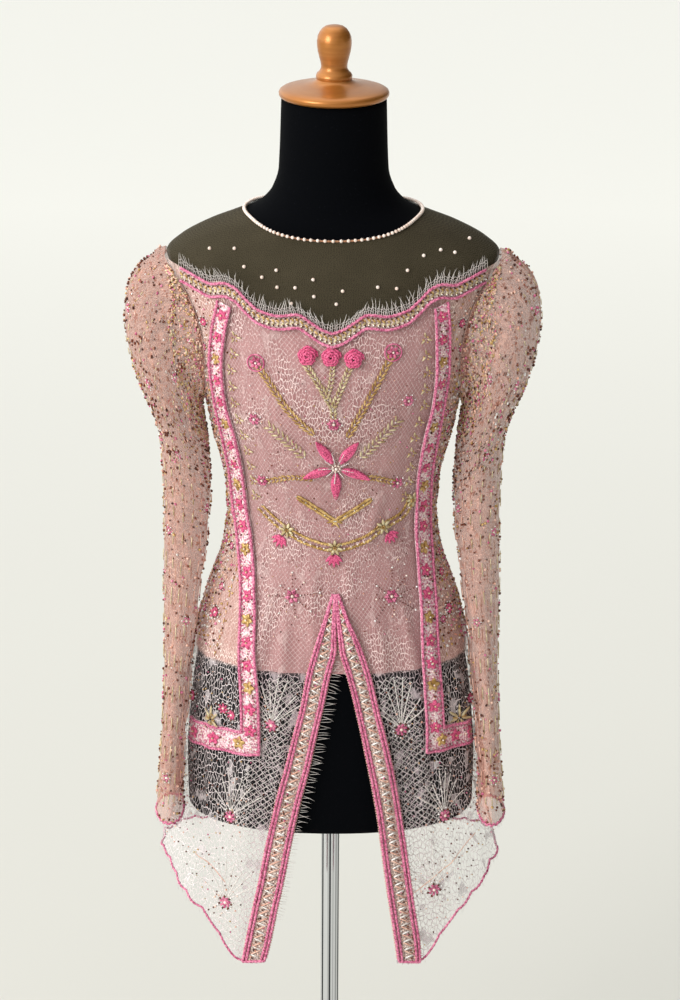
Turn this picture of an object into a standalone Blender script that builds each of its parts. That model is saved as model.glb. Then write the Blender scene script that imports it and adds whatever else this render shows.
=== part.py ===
"""A lace kebaya blouse on a limbless dress form with a neck cap, a pole and a round base.

Frame: X to the viewer's right, the front of the blouse faces -Y, +Z up, origin on the floor
under the middle of the base.  Sizes below are millimetres; MM turns them into metres.

Every cloth piece is read from one surface, cloth(turn, z, off): `turn` is the angle round the
body in degrees (0 centre front, 90 the side at +X, 180 centre back), `z` the height and `off`
how far the point stands off the form.  The layers are, from inside out, the form, the lining
or the tulle yoke, the lace, and the corded bands.
"""
import math
from collections import namedtuple

import bmesh
import bpy
from mathutils import Matrix, Vector

MM = 0.001
SEAM = 0.35                      # open line between two pieces that meet at a seam
SETTLE = 12                      # passes that settle a point on an edge it must follow

# ---- the form: level sections, bottom to top -------------------------------------------------
Section = namedtuple("Section", "z half_width front back power")
FORM = [
    Section(575, 173, 103, 102, 2.20),       # flat underside
    Section(640, 174, 108, 108, 2.20),
    Section(700, 170, 109, 110, 2.25),       # fullest part of the hips
    Section(784, 159, 105, 106, 2.25),
    Section(850, 143, 98, 97, 2.20),
    Section(905, 124, 89, 84, 2.15),
    Section(955, 116, 85, 78, 2.15),         # waist
    Section(1000, 121, 89, 82, 2.15),
    Section(1050, 134, 102, 91, 2.15),
    Section(1096, 143, 113, 97, 2.20),
    Section(1120, 148, 115, 99, 2.20),       # bust
    Section(1170, 158, 109, 101, 2.30),
    Section(1215, 172, 98, 96, 2.35),
    Section(1245, 183, 90, 88, 2.35),
    Section(1262, 188, 85, 81, 2.30),        # shoulder tips
    Section(1276, 175, 80, 74, 2.25),
    Section(1294, 143, 73, 66, 2.15),
    Section(1304, 117, 68, 61, 2.10),
    Section(1312, 97, 64, 58, 2.05),
    Section(1322, 81, 60, 56, 2.00),
    Section(1336, 69, 56, 54, 2.00),
    Section(1358, 62, 54, 53, 2.00),
    Section(1438, 59, 53, 53, 2.00),         # top of the neck
]
# the form's own rings: its sides are cut into this many columns at these heights
FORM_COLUMNS = 36
FORM_LEVELS = [575, 612, 700, 742, 784, 850, 905, 955, 1000, 1050, 1096, 1120, 1170, 1215, 1245,
               1255, 1269, 1276, 1294, 1304, 1312, 1322, 1358, 1438]

# how much further out the cloth hangs than the form does, below the hips
Ease = namedtuple("Ease", "z side front back")
EASE = [
    Ease(410, 44, 17, 14),
    Ease(530, 22, 13, 11),
    Ease(575, 10, 9, 9),
    Ease(640, 2.5, 2.5, 2.5),
    Ease(700, 1, 0.5, 0.5),
    Ease(784, 0, 0, 0),
    Ease(1438, 0, 0, 0),
]

# ---- layers: where each one starts off the form, and its thickness ---------------------------
FORM_RELIEF = 2.0                # the form lies this much inside the body surface
RELIEF_ENDS, RELIEF_FULL = 1340, 1310
YOKE_OFF, YOKE_THICK = 0.7, 1.0
LINING_OFF, LINING_THICK = 0.6, 1.0
LACE_OFF, LACE_THICK = 3.3, 1.0
BAND_OFF, BAND_THICK, CORD_RISE = 5.3, 1.3, 1.2

# ---- where the pieces are cut ---------------------------------------------------------------
NECK_FRONT, NECK_SIDE, NECK_BACK = 1293, 1312, 1302
NECK_BINDING_RADIUS, NECK_BINDING_END, NECK_BINDING_STEPS, NECK_BINDING_SIDES = 1.5, 179.7, 36, 6
LINING_HEM = 784                 # level hem of the lining, and the top of the front opening
SLIT_TOP = 784
SLIT_APEX = 880                  # where the two slit bands meet
BACK_LACE_TOP = 1232
YOKE_UNDERLAP, LINING_SHORT = 1.5, 12  # the lace edge covers the line between yoke and lining
ARM_RADIUS, BACK_RADIUS, FRONT_RADIUS = 60, 80, 110    # turn a seam's width into degrees there
FRONT_COLUMNS, SIDE_COLUMNS, BACK_COLUMNS, YOKE_BACK_COLUMNS = 18, 4, 8, 9
YOKE_FRONT_ROWS, YOKE_BACK_ROWS = 5, 7

# top edge of the front lace, a sweetheart line with scallops
TopEdge = namedtuple("TopEdge", "x z")
SWEETHEART = [
    TopEdge(0, 1196), TopEdge(12, 1200), TopEdge(24, 1207), TopEdge(41, 1216),
    TopEdge(62, 1214), TopEdge(84, 1219), TopEdge(100, 1231), TopEdge(112, 1242),
    TopEdge(124, 1246), TopEdge(138, 1244), TopEdge(153, 1249), TopEdge(168, 1255),
    TopEdge(190, 1260),
]
TOP_BAND_WIDE, TOP_BAND_REACH, TOP_BAND_STEPS = 16, 148, 28

# the long corded bands that cover the front seams: the line midway between the two, and how
# far from it a band's inner and outer edges run
Band = namedtuple("Band", "z middle inner outer")
PANEL_BAND = [
    Band(668, 14, 96, 118), Band(706, 14, 96, 117), Band(757, 12, 95, 116), Band(808, 9, 95, 115),
    Band(857, 8, 94, 113), Band(900, 5.5, 93, 111), Band(935, 2.5, 93, 111),
    Band(966, 0, 95, 112.5), Band(1010, -1.5, 98, 115), Band(1060, -2.5, 105, 122),
    Band(1110, -3.5, 116, 130), Band(1150, -3.5, 119, 134), Band(1190, -2, 117, 133),
    Band(1226, 0, 113, 129), Band(1260, 0, 112, 128),
]
BAND_TURN_Z, BAND_FOOT_Z, BAND_FOOT_DROP = 709, 680, 4
BAND_FOOT_LIFT = 0.8
BAND_FOOT_TURN = 68              # degrees round the side where the band's foot ends
PANEL_BAND_LEVELS = [1206, 1190, 1165, 1130, 1096, 1060, 1015, 975, 940, 900, 860, 822, 784, 746]

# front opening: the middle of the opening, its half width, and the outer edge of its bands
Slit = namedtuple("Slit", "z middle inner outer")
SLIT = [
    Slit(408, 2, 80, 108), Slit(440, 4, 74, 104), Slit(487, 5, 66, 96), Slit(521, 6, 60, 90),
    Slit(564, 7, 53, 83), Slit(597, 8, 48, 77), Slit(634, 9, 41, 70), Slit(671, 10, 33, 62),
    Slit(707, 10, 26, 54), Slit(744, 10, 18, 45), Slit(784, 9, 9, 37), Slit(817, 8, 1, 27),
    Slit(850, 6, 0.6, 14), Slit(880, 5, 0.6, 3),
]
SLIT_BAND_LEVELS = [SLIT_APEX, 850, 817, 784, 744, 707, 671, 634, 597, 564, 521, 487, 455, 424]
SLIT_BAND_INSET = 0.02           # share of its width that a slit band stays off the lace's edge

# hem of the lace: a point on each side of the front opening, level behind
Hem = namedtuple("Hem", "turn z")
HEM = [
    Hem(0, 430), Hem(20, 416), Hem(26, 414), Hem(33, 434), Hem(42, 466), Hem(56, 492),
    Hem(72, 515), Hem(90, 524), Hem(115, 518), Hem(150, 508), Hem(180, 504),
]
SCALLOP_DEGREES, SCALLOP_DEPTH = 9.0, 4.0

# armhole: an ellipse seen from the side
ARMHOLE_Z, ARMHOLE_HALF_HEIGHT, ARMHOLE_HALF_DEPTH = 1179, 83, 54

# sleeve rings: the point next to the body, the point away from it, half depth and the middle's y
Ring = namedtuple("Ring", "y x_in z_in x_out z_out depth gather")
SLEEVE = [
    Ring(0, 151, 1085, 205, 1256, 61, 3.0),
    Ring(0, 150, 1071, 222, 1243, 67, 3.2),
    Ring(0, 148, 1057, 234.5, 1218, 70, 2.6),
    Ring(0, 146, 1043, 238.5, 1184, 70, 1.8),
    Ring(0, 145, 1031, 234, 1148, 66, 1.2),
    Ring(0, 144, 1018, 223, 1111, 60, 1.2),
    Ring(-1, 143, 1004, 208, 1073, 53, 1.0),
    Ring(-2, 142, 988, 199, 1036, 47, 0.6),
    Ring(-5, 143, 958, 197, 982, 44, 0),
    Ring(-13, 148, 900, 196, 908, 43, 0),
    Ring(-30, 159, 815, 196, 817, 42, 0),
    Ring(-50, 168, 730, 198, 730, 41, 0),
    Ring(-66, 174, 650, 202, 650, 40, 0),
    Ring(-73, 174, 595, 206, 595, 41, 0),
]
SLEEVE_COLUMNS = 24
ELBOW_RING = 8                   # the ring where the upper sleeve ends
SLEEVE_LAP = 2                   # the sleeve's seam stands this far round the armhole
SLEEVE_OVER_YOKE = 1.2           # and this far off the yoke, above the lace
LACE_ENDS, YOKE_ALONE = 1258, 1266
SLEEVE_THICK = 1.0

# rows of the body pieces between their top edge and the lining's hem
BODY_LEVELS = [1155, 1122, 1098, 1062, 1026, 994, 966, 938, 908, 876, 830, LINING_HEM]
TOP_ROWS = 4
LEG_COLUMNS = 5                  # columns of the front lace on each side of the opening
SKIRT_ROWS = 7                   # rows of lace between the lining's hem and the lace's own hem
OPEN_LEG, OPEN_LEG_ROWS = [0, 1], 4     # columns and rows of a leg that no band covers

# cut gaps of the open lace below the lining, as a share of their cell
GAP_WIDE, GAP_TALL = 0.46, 0.60

# ---- trims ----------------------------------------------------------------------------------
LASH_STRIP_WIDE, LASH_STRIP_THICK = 2.4, 1.0
LASH_LONG, LASH_LIFT = 18, 3.0
TOP_LASHES, SLIT_LASHES = 44, 14
LASH_ROOT_GAP = 1.2
TOP_LASH_REACH, TOP_LASH_ABOVE, TOP_LASH_CLEAR = 158, 4, 0.7
SLIT_LASH_TOP, SLIT_LASH_BOTTOM, SLIT_LASH_LONG = 732, 590, 15
ROSETTE_RADIUS, ROSETTE_HIGH, ROSETTE_APART, ROSETTE_Z = 10.5, 5, 26.5, 1168
FLOWER_Z, FLOWER_LONG, FLOWER_WAIST, FLOWER_THICK = 1040, 37, 8, 1.5
FLOWER_PETALS = 5

# ---- stand ----------------------------------------------------------------------------------
POLE_RADIUS = 11
COLLAR_RADIUS, COLLAR_TOP = 19, 34
TOUCH = 0.3

Turned = namedtuple("Turned", "r z")
CAP = [                          # turned cap and finial, from the top down
    Turned(0, 1520), Turned(9, 1519), Turned(15.5, 1515), Turned(19.3, 1503), Turned(18.6, 1490),
    Turned(15, 1476), Turned(15.2, 1471), Turned(20, 1464), Turned(20, 1459), Turned(24, 1455),
    Turned(44, 1451.5), Turned(59, 1448.5), Turned(62, 1444.5), Turned(60.5, 1439.5),
    Turned(56, FORM[-1].z + TOUCH), Turned(0, FORM[-1].z + TOUCH),
]
BASE = [                         # collar and round base, from the top down
    Turned(COLLAR_RADIUS, COLLAR_TOP), Turned(COLLAR_RADIUS, 12), Turned(164, 6),
    Turned(168, 4), Turned(168, 0), Turned(0, 0),
]

COLOURS = {                      # base colour, roughness, metallic
    "black_jersey": ((0.012, 0.013, 0.018), 0.85, 0.0),
    "copper_wood": ((0.52, 0.20, 0.055), 0.35, 0.0),
    "chrome": ((0.62, 0.64, 0.66), 0.12, 1.0),
    "tulle": ((0.09, 0.075, 0.045), 0.8, 0.0),
    "lining": ((0.72, 0.48, 0.46), 0.6, 0.0),
    "lace": ((0.74, 0.50, 0.46), 0.75, 0.0),
    "bead_band": ((0.66, 0.36, 0.38), 0.5, 0.0),
    "pink_cord": ((0.78, 0.16, 0.34), 0.6, 0.0),
    "pearl": ((0.86, 0.74, 0.66), 0.25, 0.0),
    "lash_thread": ((0.85, 0.82, 0.78), 0.7, 0.0),
}


# ---- reading the tables ----------------------------------------------------------------------
def read(table, key, name, at):
    """The smooth value of one column at a place, flat beyond the table's ends."""
    keys = [getattr(row, key) for row in table]
    values = [getattr(row, name) for row in table]
    if at <= keys[0]:
        return values[0]
    if at >= keys[-1]:
        return values[-1]
    slopes = [(values[i + 1] - values[i]) / (keys[i + 1] - keys[i]) for i in range(len(keys) - 1)]

    def tangent(i):
        if i == 0 or i == len(keys) - 1:
            return slopes[0] if i == 0 else slopes[-1]
        left, right = slopes[i - 1], slopes[i]
        return 0.0 if left * right <= 0 else 2 * left * right / (left + right)

    i = max(k for k in range(len(keys) - 1) if keys[k] <= at)
    span = keys[i + 1] - keys[i]
    t = (at - keys[i]) / span
    return ((2 * t**3 - 3 * t**2 + 1) * values[i] + (t**3 - 2 * t**2 + t) * span * tangent(i)
            + (3 * t**2 - 2 * t**3) * values[i + 1] + (t**3 - t**2) * span * tangent(i + 1))


def mix(a, b, t):
    return a + (b - a) * t


def smooth_step(t):
    t = min(max(t, 0.0), 1.0)
    return t * t * (3 - 2 * t)


# ---- the body surface ------------------------------------------------------------------------
def section(z, eased=True):
    """Half width, front depth, back depth and power of the level section at a height."""
    sizes = [read(FORM, "z", name, z) for name in ("half_width", "front", "back", "power")]
    if eased:
        for i, name in enumerate(("side", "front", "back")):
            sizes[i] += read(EASE, "z", name, z)
    return sizes


def on_section(turn, z, eased=True):
    half_width, front, back, power = section(z, eased)
    side, ahead = math.sin(math.radians(turn)), math.cos(math.radians(turn))
    x = math.copysign(abs(side) ** (2 / power), side) * half_width
    y = -math.copysign(abs(ahead) ** (2 / power), ahead) * (front if ahead > 0 else back)
    return Vector((x, y, z))


def surface(turn, z, off, eased=True):
    """A point that stands `off` out of the body surface, square to it."""
    around = on_section(turn + 1.5, z, eased) - on_section(turn - 1.5, z, eased)
    up = on_section(turn, z + 2, eased) - on_section(turn, z - 2, eased)
    normal = around.cross(up).normalized()
    return on_section(turn, z, eased) + normal * off


def cloth(turn, z, off):
    return surface(turn, z, off, eased=True)


def turn_at(x, z, off=LACE_OFF):
    """The front turn at which the surface has this x."""
    half_width, _, _, power = section(z)
    share = min(abs(x) / (half_width + off), 1.0)
    return math.copysign(math.degrees(math.asin(share ** (power / 2))), x)


def armhole_depth(z):
    """Half depth of the armhole at a height, nothing above and below it."""
    share = (z - ARMHOLE_Z) / ARMHOLE_HALF_HEIGHT
    return ARMHOLE_HALF_DEPTH * math.sqrt(max(0.0, 1 - share * share))


def side_edge(z, behind=False):
    """The turn at which a body piece ends: the armhole, or the side or shoulder seam."""
    _, front, back, power = section(z)
    depth = (back if behind else front) + LACE_OFF
    turn = math.degrees(math.acos(min(1.0, armhole_depth(z) / depth) ** (power / 2)))
    gap = math.degrees(SEAM / 2 / ARM_RADIUS)
    return 180 - turn + gap if behind else turn - gap


def neck_height(turn):
    """The neckline: low in front, climbing soon towards the sides of the neck."""
    ahead = math.cos(math.radians(turn))
    middle = (NECK_FRONT + NECK_BACK) / 2
    return middle + (NECK_FRONT - middle) * ahead + (NECK_SIDE - middle) * (1 - ahead ** 4)


def sweetheart(x):
    return read(SWEETHEART, "x", "z", abs(x))


def front_top(turn):
    """Height of the sweetheart edge at a turn."""
    z = BACK_LACE_TOP
    for _ in range(SETTLE):
        z = sweetheart(on_section(turn, z).x)
    return z


def hem_height(turn):
    turn = abs(turn)
    wave = abs(math.sin(math.radians(180 * turn / SCALLOP_DEGREES)))
    return read(HEM, "turn", "z", turn) - SCALLOP_DEPTH * wave


def band_turn(z, side, across):
    """A turn on the long band: across is 0 at its inner and 1 at its outer edge."""
    inner, outer = read(PANEL_BAND, "z", "inner", z), read(PANEL_BAND, "z", "outer", z)
    return turn_at(read(PANEL_BAND, "z", "middle", z) + side * mix(inner, outer, across), z)


def seam_turn(z, side):
    """The front seam runs under the middle of the long band."""
    return band_turn(max(z, PANEL_BAND[0].z), side, 0.5)


def slit_turn(z, side, across):
    """A turn on the slit band: across is 0 at the opening's edge and 1 at the outer cord."""
    inner, outer = read(SLIT, "z", "inner", z), read(SLIT, "z", "outer", z)
    return turn_at(read(SLIT, "z", "middle", z) + side * mix(inner, outer, across), z)


# ---- making objects --------------------------------------------------------------------------
def clear_scene():
    for item in list(bpy.data.objects):
        bpy.data.objects.remove(item, do_unlink=True)


def material(name):
    found = bpy.data.materials.get(name)
    if found:
        return found
    colour, rough, metal = COLOURS[name]
    made = bpy.data.materials.new(name)
    made.use_nodes = True
    shader = made.node_tree.nodes["Principled BSDF"]
    shader.inputs["Base Color"].default_value = (*colour, 1.0)
    shader.inputs["Roughness"].default_value = rough
    shader.inputs["Metallic"].default_value = metal
    return made


def add_object(name, mesh, finish):
    item = bpy.data.objects.new(name, mesh)
    item.data.materials.append(material(finish))
    PART.objects.link(item)
    return item


def mesh_of(name, points, faces):
    mesh = bpy.data.meshes.new(name)
    mesh.from_pydata([Vector(p) * MM for p in points], [], faces)
    mesh.update()
    return mesh


def evenly_cut(quad, middle):
    """The same four corners, started so that both sides of the body split along mirrored lines."""
    return quad[1:] + quad[:1] if middle.x < 0 else quad


def add_wall(name, patches, thick, finish):
    """Cloth: one or more grids of inner points, joined where they meet, and thickened."""
    build = bmesh.new()
    for rows, has_gap in patches:
        knots = [[build.verts.new(point * MM) for point in row] for row in rows]
        for r in range(len(rows) - 1):
            for c in range(len(rows[r]) - 1):
                corners = (knots[r][c], knots[r + 1][c], knots[r + 1][c + 1], knots[r][c + 1])
                if has_gap(r, c):
                    cut_gap(build, corners)
                else:
                    build.faces.new(evenly_cut(corners, sum((v.co for v in corners), Vector())))
    bmesh.ops.remove_doubles(build, verts=build.verts, dist=0.05 * MM)
    mesh = bpy.data.meshes.new(name)
    build.to_mesh(mesh)
    build.free()
    item = add_object(name, mesh, finish)
    shell = item.modifiers.new("cloth thickness", "SOLIDIFY")
    shell.thickness = thick * MM
    shell.offset = 1.0
    return item


def cut_gap(build, corners):
    """Opens a leaf-shaped gap in the middle of one cell of the lace."""
    top_left, bottom_left, bottom_right, top_right = [v.co.copy() for v in corners]
    middle = (top_left + bottom_left + bottom_right + top_right) / 4
    across = (top_right + bottom_right - top_left - bottom_left) / 4 * GAP_WIDE
    down = (bottom_left + bottom_right - top_left - top_right) / 4 * GAP_TALL
    ring = [middle - across * 0.45 - down, middle - across * 0.9 + down * 0.35,
            middle + across * 0.45 + down, middle + across * 0.9 - down * 0.35]
    inner = [build.verts.new(point) for point in ring]
    for k in range(4):
        build.faces.new((corners[k], corners[(k + 1) % 4], inner[(k + 1) % 4], inner[k]))


def add_loft(name, rings, finish):
    """A solid through closed rings of equal count, capped at both ends."""
    count = len(rings[0])
    points = [point for ring in rings for point in ring]
    faces = []
    for r in range(len(rings) - 1):
        here, after = r * count, (r + 1) * count
        for k in range(count):
            quad = (here + k, here + (k + 1) % count, after + (k + 1) % count, after + k)
            faces.append(evenly_cut(quad, rings[r][k] + rings[r][(k + 1) % count]))
    faces += [tuple(reversed(range(count))),
              tuple(range((len(rings) - 1) * count, len(rings) * count))]
    item = add_object(name, mesh_of(name, points, faces), finish)
    face_out(item.data)
    return item


def face_out(mesh):
    build = bmesh.new()
    build.from_mesh(mesh)
    bmesh.ops.recalc_face_normals(build, faces=build.faces)
    build.to_mesh(mesh)
    build.free()


def add_turned(name, profile, finish, steps):
    """A profile of (r, z) from the top down the outside, turned round Z."""
    mesh = bpy.data.meshes.new(name)
    points = [Vector((r * MM, 0, z * MM)) for r, z in profile]
    mesh.from_pydata(points, [(i, i + 1) for i in range(len(points) - 1)], [])
    item = add_object(name, mesh, finish)
    screw = item.modifiers.new("turn", "SCREW")
    screw.steps = screw.render_steps = steps
    screw.use_merge_vertices = True
    screw.merge_threshold = 0.0001
    screw.use_smooth_shade = True
    return item


def no_gap(row, column):
    return False


# ---- dress form and stand --------------------------------------------------------------------
def make_form():
    rings = []
    for z in FORM_LEVELS:
        relief = FORM_RELIEF * smooth_step((RELIEF_ENDS - z) / (RELIEF_ENDS - RELIEF_FULL))
        ring = []
        for c in range(FORM_COLUMNS):
            point = surface(360 * c / FORM_COLUMNS, z, -relief, eased=False)
            ring.append(Vector((point.x, point.y, z)))
        rings.append(ring)
    item = add_loft("form_torso", rings, "black_jersey")
    item.data.shade_smooth()


def make_stand():
    """The cap on the neck, and the pole screwed into its round base."""
    add_turned("neck_cap", CAP, "copper_wood", steps=20)
    top = FORM[0].z - TOUCH
    add_turned("stand", [(0, top), (POLE_RADIUS, top), (POLE_RADIUS, COLLAR_TOP)] + BASE, "chrome",
               steps=28)


# ---- yoke and neckline -----------------------------------------------------------------------
def yoke_rows(spread, bottom, rows):
    """Rows of a yoke piece from the neckline down to its bottom edge."""
    grid = []
    for r in range(rows + 1):
        row = []
        for c in range(spread.columns + 1):
            share, z = c / spread.columns, NECK_FRONT
            for _ in range(SETTLE):
                turn = spread(z, share)
                z = mix(neck_height(turn), bottom(turn), r / rows)
            row.append(cloth(spread(z, share), z, YOKE_OFF))
        grid.append(row)
    return grid


class Spread:
    """Turns spread evenly between two edges of a piece."""

    def __init__(self, left, right, columns):
        self.left, self.right, self.columns = left, right, columns

    def __call__(self, z, share):
        return mix(self.left(z), self.right(z), share)


def make_yoke():
    front = Spread(lambda z: -side_edge(z), side_edge, FRONT_COLUMNS)
    rows = yoke_rows(front, lambda turn: front_top(turn) - YOKE_UNDERLAP, YOKE_FRONT_ROWS)
    add_wall("yoke_front", [(rows, no_gap)], YOKE_THICK, "tulle")
    for name, spread in back_spreads(YOKE_BACK_COLUMNS):
        rows = yoke_rows(spread, lambda turn: BACK_LACE_TOP - YOKE_UNDERLAP, YOKE_BACK_ROWS)
        add_wall("yoke_" + name, [(rows, no_gap)], YOKE_THICK, "tulle")


def make_neck_binding():
    """A rolled tulle edge round the neck, open at the centre back."""
    rings = []
    angles = [math.tau * k / NECK_BINDING_SIDES for k in range(NECK_BINDING_SIDES)]
    above = YOKE_OFF + YOKE_THICK + 2 * TOUCH + NECK_BINDING_RADIUS
    for s in range(NECK_BINDING_STEPS + 1):
        turn = mix(-NECK_BINDING_END, NECK_BINDING_END, s / NECK_BINDING_STEPS)
        centre = cloth(turn, neck_height(turn) - 1, above)
        ahead = cloth(turn + 1, neck_height(turn + 1), 0) - cloth(turn - 1, neck_height(turn - 1), 0)
        out = cloth(turn, neck_height(turn), 1) - cloth(turn, neck_height(turn), 0)
        up = ahead.cross(out).normalized()
        rings.append([centre + (out * math.cos(a) + up * math.sin(a)) * NECK_BINDING_RADIUS
                      for a in angles])
    add_loft("neck_binding", rings, "pearl")


# ---- body panels -----------------------------------------------------------------------------
def body_rows(spread, top, off):
    """Rows of a body piece from its top edge down to the lining's hem."""
    grid = []
    for r in range(TOP_ROWS):
        row = []
        for c in range(spread.columns + 1):
            share, z = c / spread.columns, BACK_LACE_TOP
            for _ in range(SETTLE):
                z = mix(top(spread(z, share)), BODY_LEVELS[0], r / TOP_ROWS)
            row.append(cloth(spread(z, share), z, off))
        grid.append(row)
    for z in BODY_LEVELS:
        grid.append([cloth(spread(z, c / spread.columns), z, off)
                     for c in range(spread.columns + 1)])
    return grid


def skirt_rows(spread, off):
    """Rows of open lace from the lining's hem down to the lace's hem."""
    grid = []
    for r in range(SKIRT_ROWS + 1):
        row = []
        for c in range(spread.columns + 1):
            share, z = c / spread.columns, LINING_HEM
            for _ in range(SETTLE):
                z = mix(LINING_HEM, hem_height(spread(z, share)), r / SKIRT_ROWS)
            row.append(cloth(spread(z, share), z, off))
        grid.append(row)
    return grid


def back_top(turn):
    return BACK_LACE_TOP


def staggered(row, column):
    """Every other cell, like bricks, but for the hem row."""
    return (row + column) % 2 == 0 and row < SKIRT_ROWS - 1


def make_lining():
    front = Spread(lambda z: -side_edge(z), side_edge, FRONT_COLUMNS)
    rows = body_rows(front, lambda turn: front_top(turn) - LINING_SHORT, LINING_OFF)
    add_wall("lining_front", [(rows, no_gap)], LINING_THICK, "lining")
    for name, spread in back_spreads(BACK_COLUMNS):
        rows = body_rows(spread, lambda turn: BACK_LACE_TOP - LINING_SHORT, LINING_OFF)
        add_wall("lining_" + name, [(rows, no_gap)], LINING_THICK, "lining")


def back_spreads(columns):
    middle = 180 - math.degrees(SEAM / 2 / BACK_RADIUS)
    return (("back_right", Spread(lambda z: side_edge(z, True), lambda z: middle, columns)),
            ("back_left", Spread(lambda z: -middle, lambda z: -side_edge(z, True), columns)))


def make_lace_panels():
    gap = math.degrees(SEAM / 2 / FRONT_RADIUS)
    body = Spread(lambda z: seam_turn(z, -1) + gap, lambda z: seam_turn(z, 1) - gap, 2 * LEG_COLUMNS)
    legs = []
    for side in (-1, 1):
        inner = lambda z, side=side: slit_turn(min(z, SLIT_TOP), side, 0)
        outer = lambda z, side=side: seam_turn(z, side) - side * gap
        left, right = (outer, inner) if side < 0 else (inner, outer)
        legs.append(Spread(left, right, LEG_COLUMNS))
    upper = body_rows(body, front_top, LACE_OFF)
    # the last row of the body meets the tops of the two legs
    crotch = turn_at(read(SLIT, "z", "middle", SLIT_TOP), SLIT_TOP)
    turns = ([legs[0](SLIT_TOP, c / LEG_COLUMNS) for c in range(LEG_COLUMNS)] + [crotch]
             + [legs[1](SLIT_TOP, c / LEG_COLUMNS) for c in range(1, LEG_COLUMNS + 1)])
    upper[-1] = [cloth(turn, SLIT_TOP, LACE_OFF) for turn in turns]
    patches = [(upper, no_gap)]
    for side, leg in zip((-1, 1), legs):
        rows = skirt_rows(leg, LACE_OFF)
        rows[0] = upper[-1][:LEG_COLUMNS + 1] if side < 0 else upper[-1][LEG_COLUMNS:]
        # the band along the opening covers the other columns
        open_columns = OPEN_LEG if side < 0 else [LEG_COLUMNS - 1 - c for c in OPEN_LEG]
        has_gap = lambda r, c, clear=open_columns: c in clear and r < OPEN_LEG_ROWS and staggered(r, c)
        patches.append((rows, has_gap))
    add_wall("front_centre", patches, LACE_THICK, "lace")

    for side, name in ((-1, "side_front_left"), (1, "side_front_right")):
        seam = lambda z, side=side: seam_turn(z, side) + side * gap
        edge = lambda z, side=side: side * side_edge(z)
        left, right = (edge, seam) if side < 0 else (seam, edge)
        spread = Spread(left, right, SIDE_COLUMNS)
        patches = [(body_rows(spread, front_top, LACE_OFF), no_gap),
                   (skirt_rows(spread, LACE_OFF), staggered)]
        add_wall(name, patches, LACE_THICK, "lace")

    for name, spread in back_spreads(BACK_COLUMNS):
        patches = [(body_rows(spread, back_top, LACE_OFF), no_gap),
                   (skirt_rows(spread, LACE_OFF), staggered)]
        add_wall(name, patches, LACE_THICK, "lace")


# ---- sleeves ---------------------------------------------------------------------------------
def armhole_seam(angle):
    """The sleeve's first ring, lapped round the armhole on top of the body's lace."""
    z = ARMHOLE_Z + (ARMHOLE_HALF_HEIGHT + SLEEVE_LAP) * math.cos(angle)
    y = -(ARMHOLE_HALF_DEPTH + SLEEVE_LAP) * math.sin(angle)
    _, front, back, power = section(z)
    turn = math.degrees(math.acos((abs(y) / (front if y < 0 else back)) ** (power / 2)))
    above_lace = smooth_step((z - LACE_ENDS) / (YOKE_ALONE - LACE_ENDS))
    off = mix(BAND_OFF, YOKE_OFF + YOKE_THICK + SLEEVE_OVER_YOKE, above_lace)
    return cloth(turn if y < 0 else 180 - turn, z, off)


def sleeve_ring(ring):
    inner = Vector((ring.x_in, ring.y, ring.z_in))
    outer = Vector((ring.x_out, ring.y, ring.z_out))
    centre, reach = (inner + outer) / 2, (outer - inner) / 2
    points = []
    for c in range(SLEEVE_COLUMNS):
        angle = math.tau * c / SLEEVE_COLUMNS
        wave = ring.gather * (1 if c % 2 else -1) * 0.5 * (1 + math.cos(angle)) / 2
        grow = 1 + wave / reach.length
        points.append(centre + (reach * math.cos(angle)
                                + Vector((0, -ring.depth * math.sin(angle), 0))) * grow)
    return points


def add_tube(name, rings, side):
    """Thin cloth through open rings of SLEEVE_COLUMNS points, mirrored for the other arm."""
    points = [Vector((p.x * side, p.y, p.z)) for ring in rings for p in ring]
    faces = []
    for r in range(len(rings) - 1):
        for c in range(SLEEVE_COLUMNS):
            after = (c + 1) % SLEEVE_COLUMNS
            quad = (r * SLEEVE_COLUMNS + c, r * SLEEVE_COLUMNS + after,
                    (r + 1) * SLEEVE_COLUMNS + after, (r + 1) * SLEEVE_COLUMNS + c)
            faces.append(quad if side < 0 else tuple(reversed(quad)))
    item = add_object(name, mesh_of(name, points, faces), "lace")
    shell = item.modifiers.new("cloth thickness", "SOLIDIFY")
    shell.thickness = SLEEVE_THICK * MM
    shell.offset = -1.0


def make_sleeves():
    """Each sleeve is a puffed upper part and a close lower part that meet at the elbow."""
    angles = [math.tau * c / SLEEVE_COLUMNS for c in range(SLEEVE_COLUMNS)]
    upper = [[armhole_seam(a) for a in angles]] + [sleeve_ring(r) for r in SLEEVE[:ELBOW_RING + 1]]
    lower = [[point - Vector((0, 0, SEAM)) for point in upper[-1]]]
    lower += [sleeve_ring(r) for r in SLEEVE[ELBOW_RING + 1:]]
    for side, name in ((1, "right"), (-1, "left")):
        add_tube("sleeve_upper_" + name, upper, side)
        add_tube("sleeve_lower_" + name, lower, side)


# ---- corded bands ----------------------------------------------------------------------------
# the profile across a band: share of its width and height above its underside
BAND_PROFILE = [(0.0, 0.0), (0.0, 0.7), (0.08, 1.0), (0.2, 0.45), (0.8, 0.45), (0.92, 1.0),
                (1.0, 0.7), (1.0, 0.0), (0.5, 0.0)]


def band_ring(place):
    """One ring of a band: place(across, off) gives a point."""
    full = BAND_THICK + CORD_RISE
    return [place(across, BAND_OFF + rise * full) for across, rise in BAND_PROFILE]


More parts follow.
